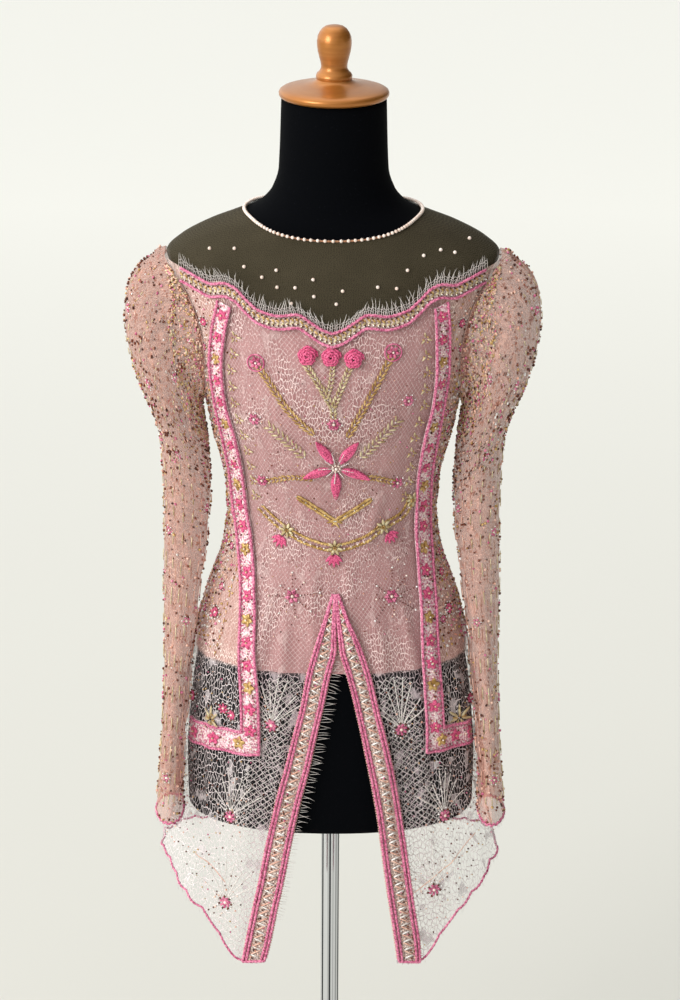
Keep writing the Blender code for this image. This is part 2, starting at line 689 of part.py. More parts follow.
def make_sweetheart_band():
    """The corded band along the top edge of the front lace."""
    rings = []
    for s in range(TOP_BAND_STEPS + 1):
        x = mix(-TOP_BAND_REACH, TOP_BAND_REACH, s / TOP_BAND_STEPS)
        top = sweetheart(x) - 1

        def place(across, off):
            z = top - TOP_BAND_WIDE * (1 - across)
            return cloth(turn_at(x, z), z, off)
        rings.append(band_ring(place))
    add_loft("sweetheart_band", rings, "bead_band")


def make_panel_bands():
    """The long bands on the front seams, each with a foot that turns out to the side."""
    for side, name in ((-1, "panel_band_left"), (1, "panel_band_right")):
        rings = []
        for z in PANEL_BAND_LEVELS:
            rings.append(band_ring(lambda across, off, z=z:
                                   cloth(band_turn(z, side, across), z, off)))

        def foot(along, across, off):
            """Past the corner the band's inner edge is its foot's lower edge."""
            z = mix(BAND_FOOT_Z, BAND_TURN_Z, across)
            turn = mix(band_turn(z, side, across), side * BAND_FOOT_TURN, along)
            return cloth(turn, z - BAND_FOOT_DROP * along, off)
        for along in (0, 0.25, 0.5, 0.75, 1):
            rings.append(band_ring(lambda across, off, along=along:
                                   foot(along, across, off + BAND_FOOT_LIFT)))
        add_loft(name, rings, "bead_band")


def make_slit_bands():
    """The bands along both edges of the front opening, meeting above it in a point."""
    for side, name in ((-1, "slit_band_left"), (1, "slit_band_right")):
        rings = []
        for z in SLIT_BAND_LEVELS:
            rings.append(band_ring(lambda across, off, z=z:
                                   cloth(slit_turn(z, side, mix(SLIT_BAND_INSET, 1, across)), z, off)))
        add_loft(name, rings, "bead_band")


# ---- lashes ----------------------------------------------------------------------------------
def add_lashes(name, count, root, reach):
    """A narrow strip with thread lashes that grow out of every other stretch of its edge.

    root(share, across, off) is a point of the strip, reach(share) the tip over it."""
    stretches = 2 * count + 1
    points, faces = [], []
    for s in range(stretches + 1):
        share = s / stretches
        points += [root(share, 0.0, LASH_STRIP_THICK / 2), root(share, 1.0, 0.0),
                   root(share, 1.0, LASH_STRIP_THICK)]
    for s in range(stretches):
        here, after = 3 * s, 3 * s + 3
        faces += [(here, here + 1, after + 1, after), (here + 2, here, after, after + 2)]
        edge = (here + 1, here + 2, after + 2, after + 1)
        if s % 2:
            points.append(reach((s + 0.5) / stretches))
            tip = len(points) - 1
            faces += [(edge[k], edge[(k + 1) % 4], tip) for k in range(4)]
        else:
            faces.append(edge)
    last = 3 * stretches
    faces += [(2, 1, 0), (last, last + 1, last + 2)]
    # tips were added after the strip's own rows, so the strip's indices hold
    item = add_object(name, mesh_of(name, points, faces), "lash_thread")
    face_out(item.data)


def make_lashes():
    lie = YOKE_OFF + YOKE_THICK + TOP_LASH_CLEAR

    def root(share, across, off):
        x = mix(-TOP_LASH_REACH, TOP_LASH_REACH, share)
        z = sweetheart(x) + TOP_LASH_ABOVE + LASH_STRIP_WIDE * across
        return cloth(turn_at(x, z), z, lie + off)

    def tip(share):
        x = mix(-TOP_LASH_REACH, TOP_LASH_REACH, share) + 2.4 * math.sin(60 * share)
        z = sweetheart(x) + LASH_LONG * (0.78 + 0.2 * math.sin(97 * share))
        return cloth(turn_at(x, z), z, lie + LASH_LIFT)
    add_lashes("lash_strip_top", TOP_LASHES, root, tip)

    def slit_root(share, across, off):
        z = mix(SLIT_LASH_TOP, SLIT_LASH_BOTTOM, share)
        edge = read(SLIT, "z", "middle", z) - read(SLIT, "z", "inner", z)
        x = edge + LASH_ROOT_GAP + LASH_STRIP_WIDE * across
        return cloth(turn_at(x, z), z, LACE_OFF + off)

    def slit_tip(share):
        z = mix(SLIT_LASH_TOP, SLIT_LASH_BOTTOM, share) + 4 * math.sin(50 * share)
        edge = read(SLIT, "z", "middle", z) - read(SLIT, "z", "inner", z)
        x = edge + min(SLIT_LASH_LONG, 1.6 * read(SLIT, "z", "inner", z))
        return cloth(turn_at(x, z), z, LACE_OFF + 1)
    add_lashes("lash_strip_slit", SLIT_LASHES, slit_root, slit_tip)


# ---- raised flowers --------------------------------------------------------------------------
def make_rosettes():
    for k, name in ((-1, "rosette_left"), (0, "rosette_middle"), (1, "rosette_right")):
        x = k * ROSETTE_APART
        turn = turn_at(x, ROSETTE_Z)
        foot = cloth(turn, ROSETTE_Z, BAND_OFF - 0.6)
        out = (cloth(turn, ROSETTE_Z, 10) - cloth(turn, ROSETTE_Z, 0)).normalized()
        build = bmesh.new()
        bmesh.ops.create_cone(build, cap_ends=True, segments=12, radius1=ROSETTE_RADIUS * MM,
                              radius2=ROSETTE_RADIUS * 0.62 * MM, depth=ROSETTE_HIGH * MM)
        place = Matrix.Translation((foot + out * ROSETTE_HIGH / 2) * MM)
        turned = out.to_track_quat("Z", "Y").to_matrix().to_4x4()
        bmesh.ops.transform(build, matrix=place @ turned, verts=build.verts)
        mesh = bpy.data.meshes.new(name)
        build.to_mesh(mesh)
        build.free()
        add_object(name, mesh, "pink_cord")


def make_flower():
    """Five long petals, bent to the lace below them."""
    steps = FLOWER_PETALS * 6
    rows = []
    for ring in (0.35, 1.0):
        row = []
        for s in range(steps):
            angle = math.tau * s / steps
            open_share = abs(math.cos(FLOWER_PETALS * angle / 2)) ** 1.5
            radius = ring * mix(FLOWER_WAIST, FLOWER_LONG, open_share)
            x, z = -radius * math.sin(angle), FLOWER_Z - radius * math.cos(angle)
            row.append(cloth(turn_at(x, z), z, BAND_OFF + 0.4))
        rows.append(row)
    points = [cloth(0, FLOWER_Z, BAND_OFF + 0.4)] + rows[0] + rows[1]
    faces = []
    for s in range(steps):
        after = (s + 1) % steps
        faces += [(0, 1 + after, 1 + s), (1 + s, 1 + after, 1 + steps + after, 1 + steps + s)]
    item = add_object("centre_flower", mesh_of("centre_flower", points, faces), "pink_cord")
    build = bmesh.new()
    build.from_mesh(item.data)
    bmesh.ops.recalc_face_normals(build, faces=build.faces)
    if build.faces[0].normal.y > 0:
        bmesh.ops.reverse_faces(build, faces=build.faces)
    build.to_mesh(item.data)
    build.free()
    shell = item.modifiers.new("petal thickness", "SOLIDIFY")
    shell.thickness = FLOWER_THICK * MM
    shell.offset = 1.0


clear_scene()
PART = bpy.data.collections.new("kebaya_blouse")
bpy.context.scene.collection.children.link(PART)
make_form()
make_stand()
make_yoke()
make_neck_binding()
make_lining()
make_lace_panels()
make_sleeves()
make_sweetheart_band()
make_panel_bands()
make_slit_bands()
make_lashes()
make_rosettes()
make_flower()
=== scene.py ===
"""Looks of a lace kebaya blouse on a limbless dress form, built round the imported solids.

Every length is in millimetres, apart from the places of camera and lights, and MM turns it
into metres.  The cloth follows one surface, cloth(turn, z, off): turn is degrees round the body
(0 in front, 90 at +X, 180 behind), z the height and off the distance out of the form.  Sleeves
follow sleeve(side, angle, place, off).
"""
import math
import random
from collections import namedtuple

import bpy
import numpy as np
from mathutils import Matrix, Vector


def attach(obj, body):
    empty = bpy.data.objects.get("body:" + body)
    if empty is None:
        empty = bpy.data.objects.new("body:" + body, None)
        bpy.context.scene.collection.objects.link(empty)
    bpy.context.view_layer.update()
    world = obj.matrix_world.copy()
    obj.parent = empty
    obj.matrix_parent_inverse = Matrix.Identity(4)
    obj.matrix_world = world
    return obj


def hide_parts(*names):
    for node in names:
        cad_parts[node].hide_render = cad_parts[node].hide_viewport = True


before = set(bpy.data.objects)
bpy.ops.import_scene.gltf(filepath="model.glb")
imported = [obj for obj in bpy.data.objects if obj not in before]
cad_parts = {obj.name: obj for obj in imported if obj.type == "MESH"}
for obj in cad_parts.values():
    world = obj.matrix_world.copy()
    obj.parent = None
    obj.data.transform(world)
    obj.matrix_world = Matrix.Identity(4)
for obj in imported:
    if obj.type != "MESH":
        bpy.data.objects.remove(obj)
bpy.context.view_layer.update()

chance = random.Random(20)
MM = 0.001

# ---- the body, as in the solids: level sections from bottom to top --------------------------
Section = namedtuple("Section", "z half_width front back power")
FORM = [
    Section(575, 173, 103, 102, 2.20), Section(640, 174, 108, 108, 2.20),
    Section(700, 170, 109, 110, 2.25), Section(784, 159, 105, 106, 2.25),
    Section(850, 143, 98, 97, 2.20), Section(905, 124, 89, 84, 2.15),
    Section(955, 116, 85, 78, 2.15), Section(1000, 121, 89, 82, 2.15),
    Section(1050, 134, 102, 91, 2.15), Section(1096, 143, 113, 97, 2.20),
    Section(1120, 148, 115, 99, 2.20), Section(1170, 158, 109, 101, 2.30),
    Section(1215, 172, 98, 96, 2.35), Section(1245, 183, 90, 88, 2.35),
    Section(1262, 188, 85, 81, 2.30), Section(1276, 175, 80, 74, 2.25),
    Section(1294, 143, 73, 66, 2.15), Section(1304, 117, 68, 61, 2.10),
    Section(1312, 97, 64, 58, 2.05), Section(1322, 81, 60, 56, 2.00),
    Section(1336, 69, 56, 54, 2.00), Section(1358, 62, 54, 53, 2.00),
    Section(1438, 59, 53, 53, 2.00),
]
Ease = namedtuple("Ease", "z side front back")       # how much further out the cloth hangs
EASE = [
    Ease(410, 44, 17, 14), Ease(530, 22, 13, 11), Ease(575, 10, 9, 9), Ease(640, 2.5, 2.5, 2.5),
    Ease(700, 1, 0.5, 0.5), Ease(784, 0, 0, 0), Ease(1438, 0, 0, 0),
]
TopEdge = namedtuple("TopEdge", "x z")               # sweetheart edge of the front lace
SWEETHEART = [
    TopEdge(0, 1196), TopEdge(12, 1200), TopEdge(24, 1207), TopEdge(41, 1216),
    TopEdge(62, 1214), TopEdge(84, 1219), TopEdge(100, 1231), TopEdge(112, 1242),
    TopEdge(124, 1246), TopEdge(138, 1244), TopEdge(153, 1249), TopEdge(168, 1255),
    TopEdge(190, 1260),
]
Band = namedtuple("Band", "z middle inner outer")
PANEL_BAND = [
    Band(668, 14, 96, 118), Band(706, 14, 96, 117), Band(757, 12, 95, 116), Band(808, 9, 95, 115),
    Band(857, 8, 94, 113), Band(900, 5.5, 93, 111), Band(935, 2.5, 93, 111),
    Band(966, 0, 95, 112.5), Band(1010, -1.5, 98, 115), Band(1060, -2.5, 105, 122),
    Band(1110, -3.5, 116, 130), Band(1150, -3.5, 119, 134), Band(1190, -2, 117, 133),
    Band(1226, 0, 113, 129), Band(1260, 0, 112, 128),
]
Slit = namedtuple("Slit", "z middle inner outer")    # the front opening and its two bands
SLIT = [
    Slit(408, 2, 80, 108), Slit(440, 4, 74, 104), Slit(487, 5, 66, 96), Slit(521, 6, 60, 90),
    Slit(564, 7, 53, 83), Slit(597, 8, 48, 77), Slit(634, 9, 41, 70), Slit(671, 10, 33, 62),
    Slit(707, 10, 26, 54), Slit(744, 10, 18, 45), Slit(784, 9, 9, 37), Slit(817, 8, 1, 27),
    Slit(850, 6, 0.6, 14), Slit(880, 5, 0.6, 3),
]
Hem = namedtuple("Hem", "turn z")
HEM = [
    Hem(0, 430), Hem(20, 416), Hem(26, 414), Hem(33, 434), Hem(42, 466), Hem(56, 492),
    Hem(72, 515), Hem(90, 524), Hem(115, 518), Hem(150, 508), Hem(180, 504),
]
Ring = namedtuple("Ring", "y x_in z_in x_out z_out depth")      # sleeve, from head to cuff
SLEEVE = [
    Ring(0, 151, 1085, 205, 1256, 61), Ring(0, 150, 1071, 222, 1243, 67),
    Ring(0, 148, 1057, 234.5, 1218, 70), Ring(0, 146, 1043, 238.5, 1184, 70),
    Ring(0, 145, 1031, 234, 1148, 66), Ring(0, 144, 1018, 223, 1111, 60),
    Ring(-1, 143, 1004, 208, 1073, 53), Ring(-2, 142, 988, 199, 1036, 47),
    Ring(-5, 143, 958, 197, 982, 44), Ring(-13, 148, 900, 196, 908, 43),
    Ring(-30, 159, 815, 196, 817, 42), Ring(-50, 168, 730, 198, 730, 41),
    Ring(-66, 174, 650, 202, 650, 40), Ring(-73, 174, 595, 206, 595, 41),
]
YOKE_OFF, LINING_OFF, LACE_OFF, BAND_OFF = 0.9, 0.8, 3.6, 5.4
FORM_RELIEF, RELIEF_ENDS, RELIEF_FULL = 2.0, 1340, 1310
NECK_FRONT, NECK_SIDE, NECK_BACK = 1293, 1312, 1302
LINING_HEM, SLIT_TOP, SLIT_APEX, BACK_LACE_TOP = 784, 784, 880, 1232
BAND_TURN_Z, BAND_FOOT_Z, BAND_FOOT_DROP, BAND_FOOT_TURN = 709, 680, 4, 68
ARMHOLE_Z, ARMHOLE_HALF_HEIGHT, ARMHOLE_HALF_DEPTH, SLEEVE_LAP = 1179, 83, 54, 2
SCALLOP_DEGREES, SCALLOP_DEPTH = 9.0, 4.0
CURVE_STEPS = 4000


class Curve:
    """One column of a table as a smooth line, flat beyond its ends; it works on arrays."""

    def __init__(self, table, key, name):
        keys = np.array([getattr(row, key) for row in table], float)
        values = np.array([getattr(row, name) for row in table], float)
        slopes = np.diff(values) / np.diff(keys)
        left, right = slopes[:-1], slopes[1:]
        flat = left * right <= 0
        inner = np.where(flat, 0.0, 2 * left * right / np.where(flat, 1.0, left + right))
        tangents = np.concatenate(([slopes[0]], inner, [slopes[-1]]))
        self.keys = np.linspace(keys[0], keys[-1], CURVE_STEPS)
        i = np.clip(np.searchsorted(keys, self.keys, "right") - 1, 0, len(keys) - 2)
        span = keys[i + 1] - keys[i]
        t = (self.keys - keys[i]) / span
        self.values = ((2 * t**3 - 3 * t**2 + 1) * values[i]
                       + (t**3 - 2 * t**2 + t) * span * tangents[i]
                       + (3 * t**2 - 2 * t**3) * values[i + 1]
                       + (t**3 - t**2) * span * tangents[i + 1])

    def __call__(self, at):
        return np.interp(at, self.keys, self.values)


def curves(table, key):
    return {name: Curve(table, key, name) for name in table[0]._fields if name != key}


FORM_AT, EASE_AT, BAND_AT, SLIT_AT = (curves(t, "z") for t in (FORM, EASE, PANEL_BAND, SLIT))
SWEETHEART_AT, HEM_AT = Curve(SWEETHEART, "x", "z"), Curve(HEM, "turn", "z")


def mix(a, b, t):
    return a + (b - a) * t


def smooth_step(t):
    t = np.minimum(np.maximum(t, 0.0), 1.0)
    return t * t * (3 - 2 * t)


def on_section(turn, z, eased=True):
    """Points of the body surface: turn is degrees round it, 0 in front and 90 at +X."""
    turn, z = np.broadcast_arrays(np.asarray(turn, float), np.asarray(z, float))
    half_width, front = FORM_AT["half_width"](z), FORM_AT["front"](z)
    back, power = FORM_AT["back"](z), FORM_AT["power"](z)
    if eased:
        half_width = half_width + EASE_AT["side"](z)
        front, back = front + EASE_AT["front"](z), back + EASE_AT["back"](z)
    side, ahead = np.sin(np.radians(turn)), np.cos(np.radians(turn))
    x = np.sign(side) * np.abs(side) ** (2 / power) * half_width
    y = -np.sign(ahead) * np.abs(ahead) ** (2 / power) * np.where(ahead > 0, front, back)
    return np.stack((x, y, z), -1)


def unit(v):
    return v / np.maximum(np.linalg.norm(v, axis=-1, keepdims=True), 1e-9)


def body_out(turn, z, eased=True):
    """Directions out of the body surface."""
    around = on_section(turn + 1.5, z, eased) - on_section(turn - 1.5, z, eased)
    up = on_section(turn, z + 2, eased) - on_section(turn, z - 2, eased)
    return unit(np.cross(around, up))


def cloth(turn, z, off, eased=True):
    """Points that stand `off` out of the body surface."""
    turn, z = np.asarray(turn, float), np.asarray(z, float)
    return on_section(turn, z, eased) + body_out(turn, z, eased) * np.asarray(off, float)[..., None]


def turn_at(x, z, off=LACE_OFF):
    """The front turn at which the surface has this x."""
    z = np.asarray(z, float)
    share = np.minimum(np.abs(x) / (FORM_AT["half_width"](z) + EASE_AT["side"](z) + off), 1.0)
    return np.sign(x) * np.degrees(np.arcsin(share ** (FORM_AT["power"](z) / 2)))


# ---- sizes of the finer work ----------------------------------------------------------------
CLOTH_MAP, OPEN_SHARE = "cloth_mm", "hangs_alone"
SETTLE = 12                      # passes that settle a point on an edge that it must follow
TURN_MM = 2.3                    # millimetres of pattern for each degree round the body
SLEEVE_COLUMNS, SLEEVE_ALONE = 120, 0.5
TOP_FOLLOWS = 1150.0             # above this the rows follow the top edge
SHEET_TOP = 1250                 # the first row starts here and settles on the top edge
YOKE_ROWS, SKIRT_ROWS = 46, 120
SEAM_DEGREES = 0.1
ZIP_TURN = 179.85                # where each back ends beside the concealed zip
TURNED_SIDES, MIDDLE_POINT = 72, 0.02
SIDES = ((-1, "left"), (1, "right"))
TOP_BAND_WIDE, TOP_BAND_REACH = 16, 173
PANEL_TOP_INNER, PANEL_TOP_OUTER, PANEL_FOOT_FROM = 1218, 1225, 0.875
SLIT_TIP_INNER, SLIT_TIP_OUTER = 418, 414
BRAID_STEP, CORD_STEP = 2.5, 1.3
CORD_RADIUS, CORD_PITCH, HEM_CORD, HEM_CORD_FROM = 1.9, 5.5, 1.5, 26.5
CUFF_SCALLOP, CUFF_WAVES, CUFF_LASHES = 2.5, 9, 60
BRAID_ACROSS = [0.0, 0.06, 0.2, 0.4, 0.6, 0.8, 0.94, 1.0]
BRAID_HIGH = [-0.8, 0.3, 0.7, 1.0, 1.0, 0.7, 0.3, -0.8]
PEARL_APART, NECK_PEARL = 4.3, 4.3
LASH_REACH, LASH_LONG, SLIT_LASH_LONG = 174, 19, 15
CAMERA_AT, CAMERA_DOWN, CAMERA_ROLL, LENS = (0.0094, -3.41, 2.201), 20.0, 0.35, 111.7
AIR, AIR_LEFT, AIR_ABOVE, AIR_LEAST = 0.76, 1.15, 0.4, 0.05
KEY, FILL_LIGHT, TOP_LIGHT = 85.0, 3.0, 10.0
FLOOR_REACH = 40000
CREASE_SHARE = 1.35              # how much of each crease's stated height stands out


def side_edge(z, behind=False):
    """The turn at which a body piece ends: the armhole, or the side or shoulder seam."""
    share = (z - ARMHOLE_Z) / ARMHOLE_HALF_HEIGHT
    hole = ARMHOLE_HALF_DEPTH * np.sqrt(np.maximum(0.0, 1 - share * share))
    depth = FORM_AT["back" if behind else "front"](z) + LACE_OFF
    turn = np.degrees(np.arccos(np.minimum(1.0, hole / depth) ** (FORM_AT["power"](z) / 2)))
    return 180 - turn if behind else turn


def neck_height(turn):
    """Height of the neck edge at a turn."""
    ahead = np.cos(np.radians(turn))
    middle = (NECK_FRONT + NECK_BACK) / 2
    return middle + (NECK_FRONT - middle) * ahead + (NECK_SIDE - middle) * (1 - ahead ** 4)


def sweetheart(x):
    return SWEETHEART_AT(np.abs(x))


def front_top(turn):
    """Height of the sweetheart edge at a turn."""
    z = np.full(np.shape(turn), float(BACK_LACE_TOP))
    for _ in range(SETTLE):
        z = sweetheart(on_section(turn, z)[..., 0])
    return z


def hem_height(turn):
    """Height of the scalloped hem at a turn."""
    turn = np.abs(turn)
    return HEM_AT(turn) - SCALLOP_DEPTH * np.abs(np.sin(np.radians(180 * turn / SCALLOP_DEGREES)))


def band_turn(z, side, across):
    """A turn on the long band: 0 at its inner and 1 at its outer edge."""
    x = BAND_AT["middle"](z) + side * mix(BAND_AT["inner"](z), BAND_AT["outer"](z), across)
    return turn_at(x, z)


def seam_turn(z, side):
    """The front seam runs under the middle of the long band."""
    return band_turn(np.maximum(z, PANEL_BAND[0].z), side, 0.5)


def slit_turn(z, side, across):
    """A turn on the slit band: 0 at the opening's edge and 1 at the outer cord."""
    x = SLIT_AT["middle"](z) + side * mix(SLIT_AT["inner"](z), SLIT_AT["outer"](z), across)
    return turn_at(x, z)


def opening_edge(z, side):
    """Inner edge of one half of the front lace: the middle line, then the opening's edge."""
    drift = SLIT_AT["middle"](z) * smooth_step((1150 - z) / 200)
    return np.where(z > SLIT_TOP, turn_at(drift, z), slit_turn(z, side, 0))


# ---- soft folds: the cloth stands out along these lines -------------------------------------
Crease = namedtuple("Crease", "turn top bottom wide high lean")
CREASES = [
    Crease(-38, 960, 640, 3.0, 2.2, 2), Crease(-29, 930, 560, 3.6, 3.2, -3),
    Crease(-19, 920, 600, 3.0, 2.6, 2), Crease(-10, 930, 820, 3.2, 2.4, 4),
    Crease(9, 930, 800, 3.0, 2.0, -3), Crease(20, 900, 620, 3.4, 2.6, -2),
    Crease(33, 940, 560, 3.8, 3.0, 3), Crease(43, 900, 470, 3.6, 2.6, 2),
    Crease(-48, 800, 470, 4.0, 3.4, -3), Crease(60, 840, 500, 4.4, 3.4, 3),
    Crease(-62, 900, 500, 4.2, 3.0, 3), Crease(78, 800, 500, 4.8, 4.0, 2),
    Crease(-80, 820, 500, 5.0, 4.2, -4), Crease(102, 860, 500, 5.0, 4.0, 4),
    Crease(-101, 880, 500, 4.6, 3.4, 3), Crease(121, 800, 490, 5.6, 4.6, -3),
    Crease(-124, 780, 490, 5.2, 4.4, 4), Crease(139, 900, 490, 5.0, 3.6, 3),
    Crease(-143, 920, 490, 4.6, 3.8, -4), Crease(160, 820, 490, 5.4, 4.4, 3),
    Crease(-163, 860, 490, 5.0, 4.0, 2), Crease(-12, 1062, 985, 3.0, 1.2, 8),
    Crease(27, 1010, 930, 3.4, 1.6, -9), Crease(150, 1180, 1010, 5.0, 1.6, -9),
    Crease(-152, 1170, 1000, 5.0, 1.6, 9), Crease(78, 1010, 930, 5.0, 1.6, 10),
    Crease(-80, 1000, 925, 5.0, 1.6, -9),
]
CREASE = Crease(*np.array(CREASES, float).T)


def folds(turn, z):
    """How far the cloth's soft folds stand out at a place."""
    turn, z = (np.asarray(part, float)[..., None] for part in (turn, z))
    down = (CREASE.top - z) / (CREASE.top - CREASE.bottom)
    apart = (turn - CREASE.turn - CREASE.lean * down) / CREASE.wide
    along_it = smooth_step(down / 0.35) * smooth_step((1.25 - down) / 0.4)
    return CREASE_SHARE * np.sum(CREASE.high * along_it * np.exp(-apart * apart), -1)


def draped(turn, z, off):
    """The cloth with its folds."""
    return cloth(turn, z, off + folds(turn, z))


# ---- the sleeve's surface -------------------------------------------------------------------
PlacedRing = namedtuple("PlacedRing", ("place", *Ring._fields))
SLEEVE_AT = curves([PlacedRing(i, *ring) for i, ring in enumerate(SLEEVE)], "place")
LAST_RING = len(SLEEVE) - 1


def armhole_seam(angle):
    """The sleeve's seam, lapped round the armhole on top of the body's lace."""
    z = ARMHOLE_Z + (ARMHOLE_HALF_HEIGHT + SLEEVE_LAP) * np.cos(angle)
    y = -(ARMHOLE_HALF_DEPTH + SLEEVE_LAP) * np.sin(angle)
    depth = np.where(y < 0, FORM_AT["front"](z), FORM_AT["back"](z))
    turn = np.degrees(np.arccos(np.minimum(1, np.abs(y) / depth) ** (FORM_AT["power"](z) / 2)))
    off = mix(BAND_OFF, YOKE_OFF + 2.0, smooth_step((z - 1258) / 8))
    return cloth(np.where(y < 0, turn, 180 - turn), z, off)


def sleeve_core(angle, place):
    """place runs from -1 at the armhole's seam over 0 at the first ring to LAST_RING."""
    angle, place = np.broadcast_arrays(np.asarray(angle, float), np.asarray(place, float))
    at = {name: curve(np.maximum(place, 0)) for name, curve in SLEEVE_AT.items()}
    inner = np.stack((at["x_in"], at["y"], at["z_in"]), -1)
    outer = np.stack((at["x_out"], at["y"], at["z_out"]), -1)
    centre, reach = (inner + outer) / 2, (outer - inner) / 2
    point = centre + reach * np.cos(angle)[..., None]
    point[..., 1] -= at["depth"] * np.sin(angle)
    seam = armhole_seam(angle)
    share = np.clip(place + 1, 0, 1)[..., None]
    # the cloth leaves the seam outwards and rounds over into the first ring
    swell = np.sin(math.pi * share) * 2.0 * (0.5 + 0.5 * np.cos(angle))[..., None]
    start = seam + (point - seam) * share + swell * (1.0, 0.0, 1.0)
    return np.where(place[..., None] < 0, start, point)


GATHERS, HEAD_FOLD, LONG_FOLD = 26, 2.6, 2.2


def sleeve_folds(side, angle, place):
    """Gathers at the head, long folds down from the armhole, and creases round the arm."""
    head = np.exp(-((place - 0.6) / 2.2) ** 2) * (0.25 + 0.75 * (0.5 + 0.5 * np.cos(angle)))
    uneven = 0.6 + 0.4 * np.sin(3 * angle + 1.3 * side)
    wave = np.sin(GATHERS * angle + 2.0 * np.sin(2 * angle + side) + 0.5 * place)
    gathered = HEAD_FOLD * head * uneven * (0.7 * wave - 0.3)
    inner_front = np.exp(-((angle - 1.9) / 0.75) ** 2) + np.exp(-((angle - 4.5) / 0.8) ** 2)
    long_way = smooth_step((place + 1) / 1.5) * smooth_step((8.2 - place) / 2.5)
    long_wave = np.sin(15 * angle + 0.9 * np.sin(3.1 * angle) + 0.28 * place)
    hung = LONG_FOLD * inner_front * long_way * (0.35 + 0.65 * long_wave)
    arm = smooth_step((place - 6.5) / 1.5)
    ring = np.sin(6.1 * place + 1.6 * np.cos(angle - 0.6 * side) + side)
    twist = np.sin(3 * angle + 2.1 * place) * 0.8
    crossed = 1.0 * arm * (ring * (0.45 + 0.55 * np.cos(angle - 2.4)) + twist)
    return gathered + hung + crossed


def sleeve(side, angle, place, off=0.0):
    """Points of a sleeve, its folds and its distance out of the solid's surface."""
    angle, place = np.broadcast_arrays(np.asarray(angle, float), np.asarray(place, float))
    off = np.asarray(off, float) + sleeve_folds(side, angle, place) * smooth_step((place + 1) / 0.5)
    point = sleeve_core(angle, place) + sleeve_out(angle, place) * off[..., None]
    return point * np.array((side, 1.0, 1.0))


def sleeve_out(angle, place):
    """Directions out of a sleeve's surface."""
    around = sleeve_core(angle + 0.03, place) - sleeve_core(angle - 0.03, place)
    down = (sleeve_core(angle, np.minimum(place + 0.05, LAST_RING))
            - sleeve_core(angle, np.maximum(place - 0.05, -1)))
    return unit(np.cross(around, down))


# ---- places on the cloth: an origin and three directions ------------------------------------
Place = namedtuple("Place", "origin right up out")


def body_place(turn, z, off=LACE_OFF):
    """Places on the body's cloth; right runs towards larger turns."""
    turn, z = np.broadcast_arrays(np.asarray(turn, float), np.asarray(z, float))
    origin = draped(turn, z, off)
    right = unit(draped(turn + 0.6, z, off) - draped(turn - 0.6, z, off))
    up = unit(draped(turn, z + 1.5, off) - draped(turn, z - 1.5, off))
    out = unit(np.cross(right, up))
    return Place(origin, right, unit(np.cross(out, right)), out)


def front_place(x, z, off):
    """Places on the front, by x instead of turn."""
    return body_place(turn_at(x, z, off), z, off)


def sleeve_place(side, angle, place, off):
    """Places on a sleeve; up runs towards the head."""
    origin = sleeve(side, angle, place, off)
    right = unit(sleeve(side, angle + 0.02, place, off) - sleeve(side, angle - 0.02, place, off))
    up = unit(sleeve(side, angle, np.maximum(place - 0.03, -1), off)
              - sleeve(side, angle, np.minimum(place + 0.03, LAST_RING), off))
    out = unit(np.cross(right, up)) * -side
    return Place(origin, right, up, out)


# ---- materials ------------------------------------------------------------------------------
def linear(hex_colour):
    """An sRGB hex colour as linear RGBA."""
    parts = [int(hex_colour[i:i + 2], 16) / 255 for i in (1, 3, 5)]
    return (*(p / 12.92 if p <= 0.04045 else ((p + 0.055) / 1.055) ** 2.4 for p in parts), 1.0)


def wire(node, inputs):
    """Sets a node's inputs: a hex colour, a value, a socket, or a node for its first output."""
    for key, value in inputs.items():
        socket = node.inputs[key] if isinstance(key, int) else next(
            s for s in node.inputs if s.enabled and s.name == key)
        if isinstance(value, bpy.types.Node):
            value = next(s for s in value.outputs if s.enabled)
        if isinstance(value, bpy.types.NodeSocket):
            node.id_data.links.new(value, socket)
        else:
            socket.default_value = linear(value) if isinstance(value, str) else value


def add(tree, kind, inputs, **settings):
    """Adds one node with its settings and inputs."""
    node = tree.nodes.new("ShaderNode" + kind)
    for name, value in settings.items():
        setattr(node, name, value)
    wire(node, inputs)
    return node


def surface(name, colour, roughness, metallic=0.0, **sockets):
    """A new material with one Principled shader; returns the material, its tree and shader."""
    made = bpy.data.materials.new(name)
    made.use_nodes = True
    shader = made.node_tree.nodes["Principled BSDF"]
    wire(shader, {"Base Color": colour, "Roughness": roughness, "Metallic": metallic})
    wire(shader, {key.replace("_", " "): value for key, value in sockets.items()})
    return made, made.node_tree, shader


def black_jersey():
    """Stretch viscose jersey over the form: matt, with a fine rib and pale lint."""
    made, tree, shader = surface("black_jersey", "#030407", 0.9, Specular_IOR_Level=0.06)
    where = add(tree, "TexCoord", {}).outputs["Object"]
    # lint fibres, drawn as specks of about 0.8 mm
    specks = add(tree, "TexVoronoi", {"Vector": where, "Scale": 190.0})
    lint = add(tree, "Math", {0: specks, 1: 0.075}, operation="LESS_THAN")
    tint = add(tree, "Mix", {"Factor": lint, "A": "#020306", "B": "#15161d"}, data_type="RGBA")
    # knit loops are 0.7 mm apart; drawn at 1.4 mm so that they show
    loops = add(tree, "TexNoise", {"Vector": where, "Scale": 700.0, "Detail": 2.0})
    bump = add(tree, "Bump", {"Height": loops, "Strength": 0.25, "Distance": 0.0006})
    wire(shader, {"Base Color": tint, "Normal": bump})
    return made


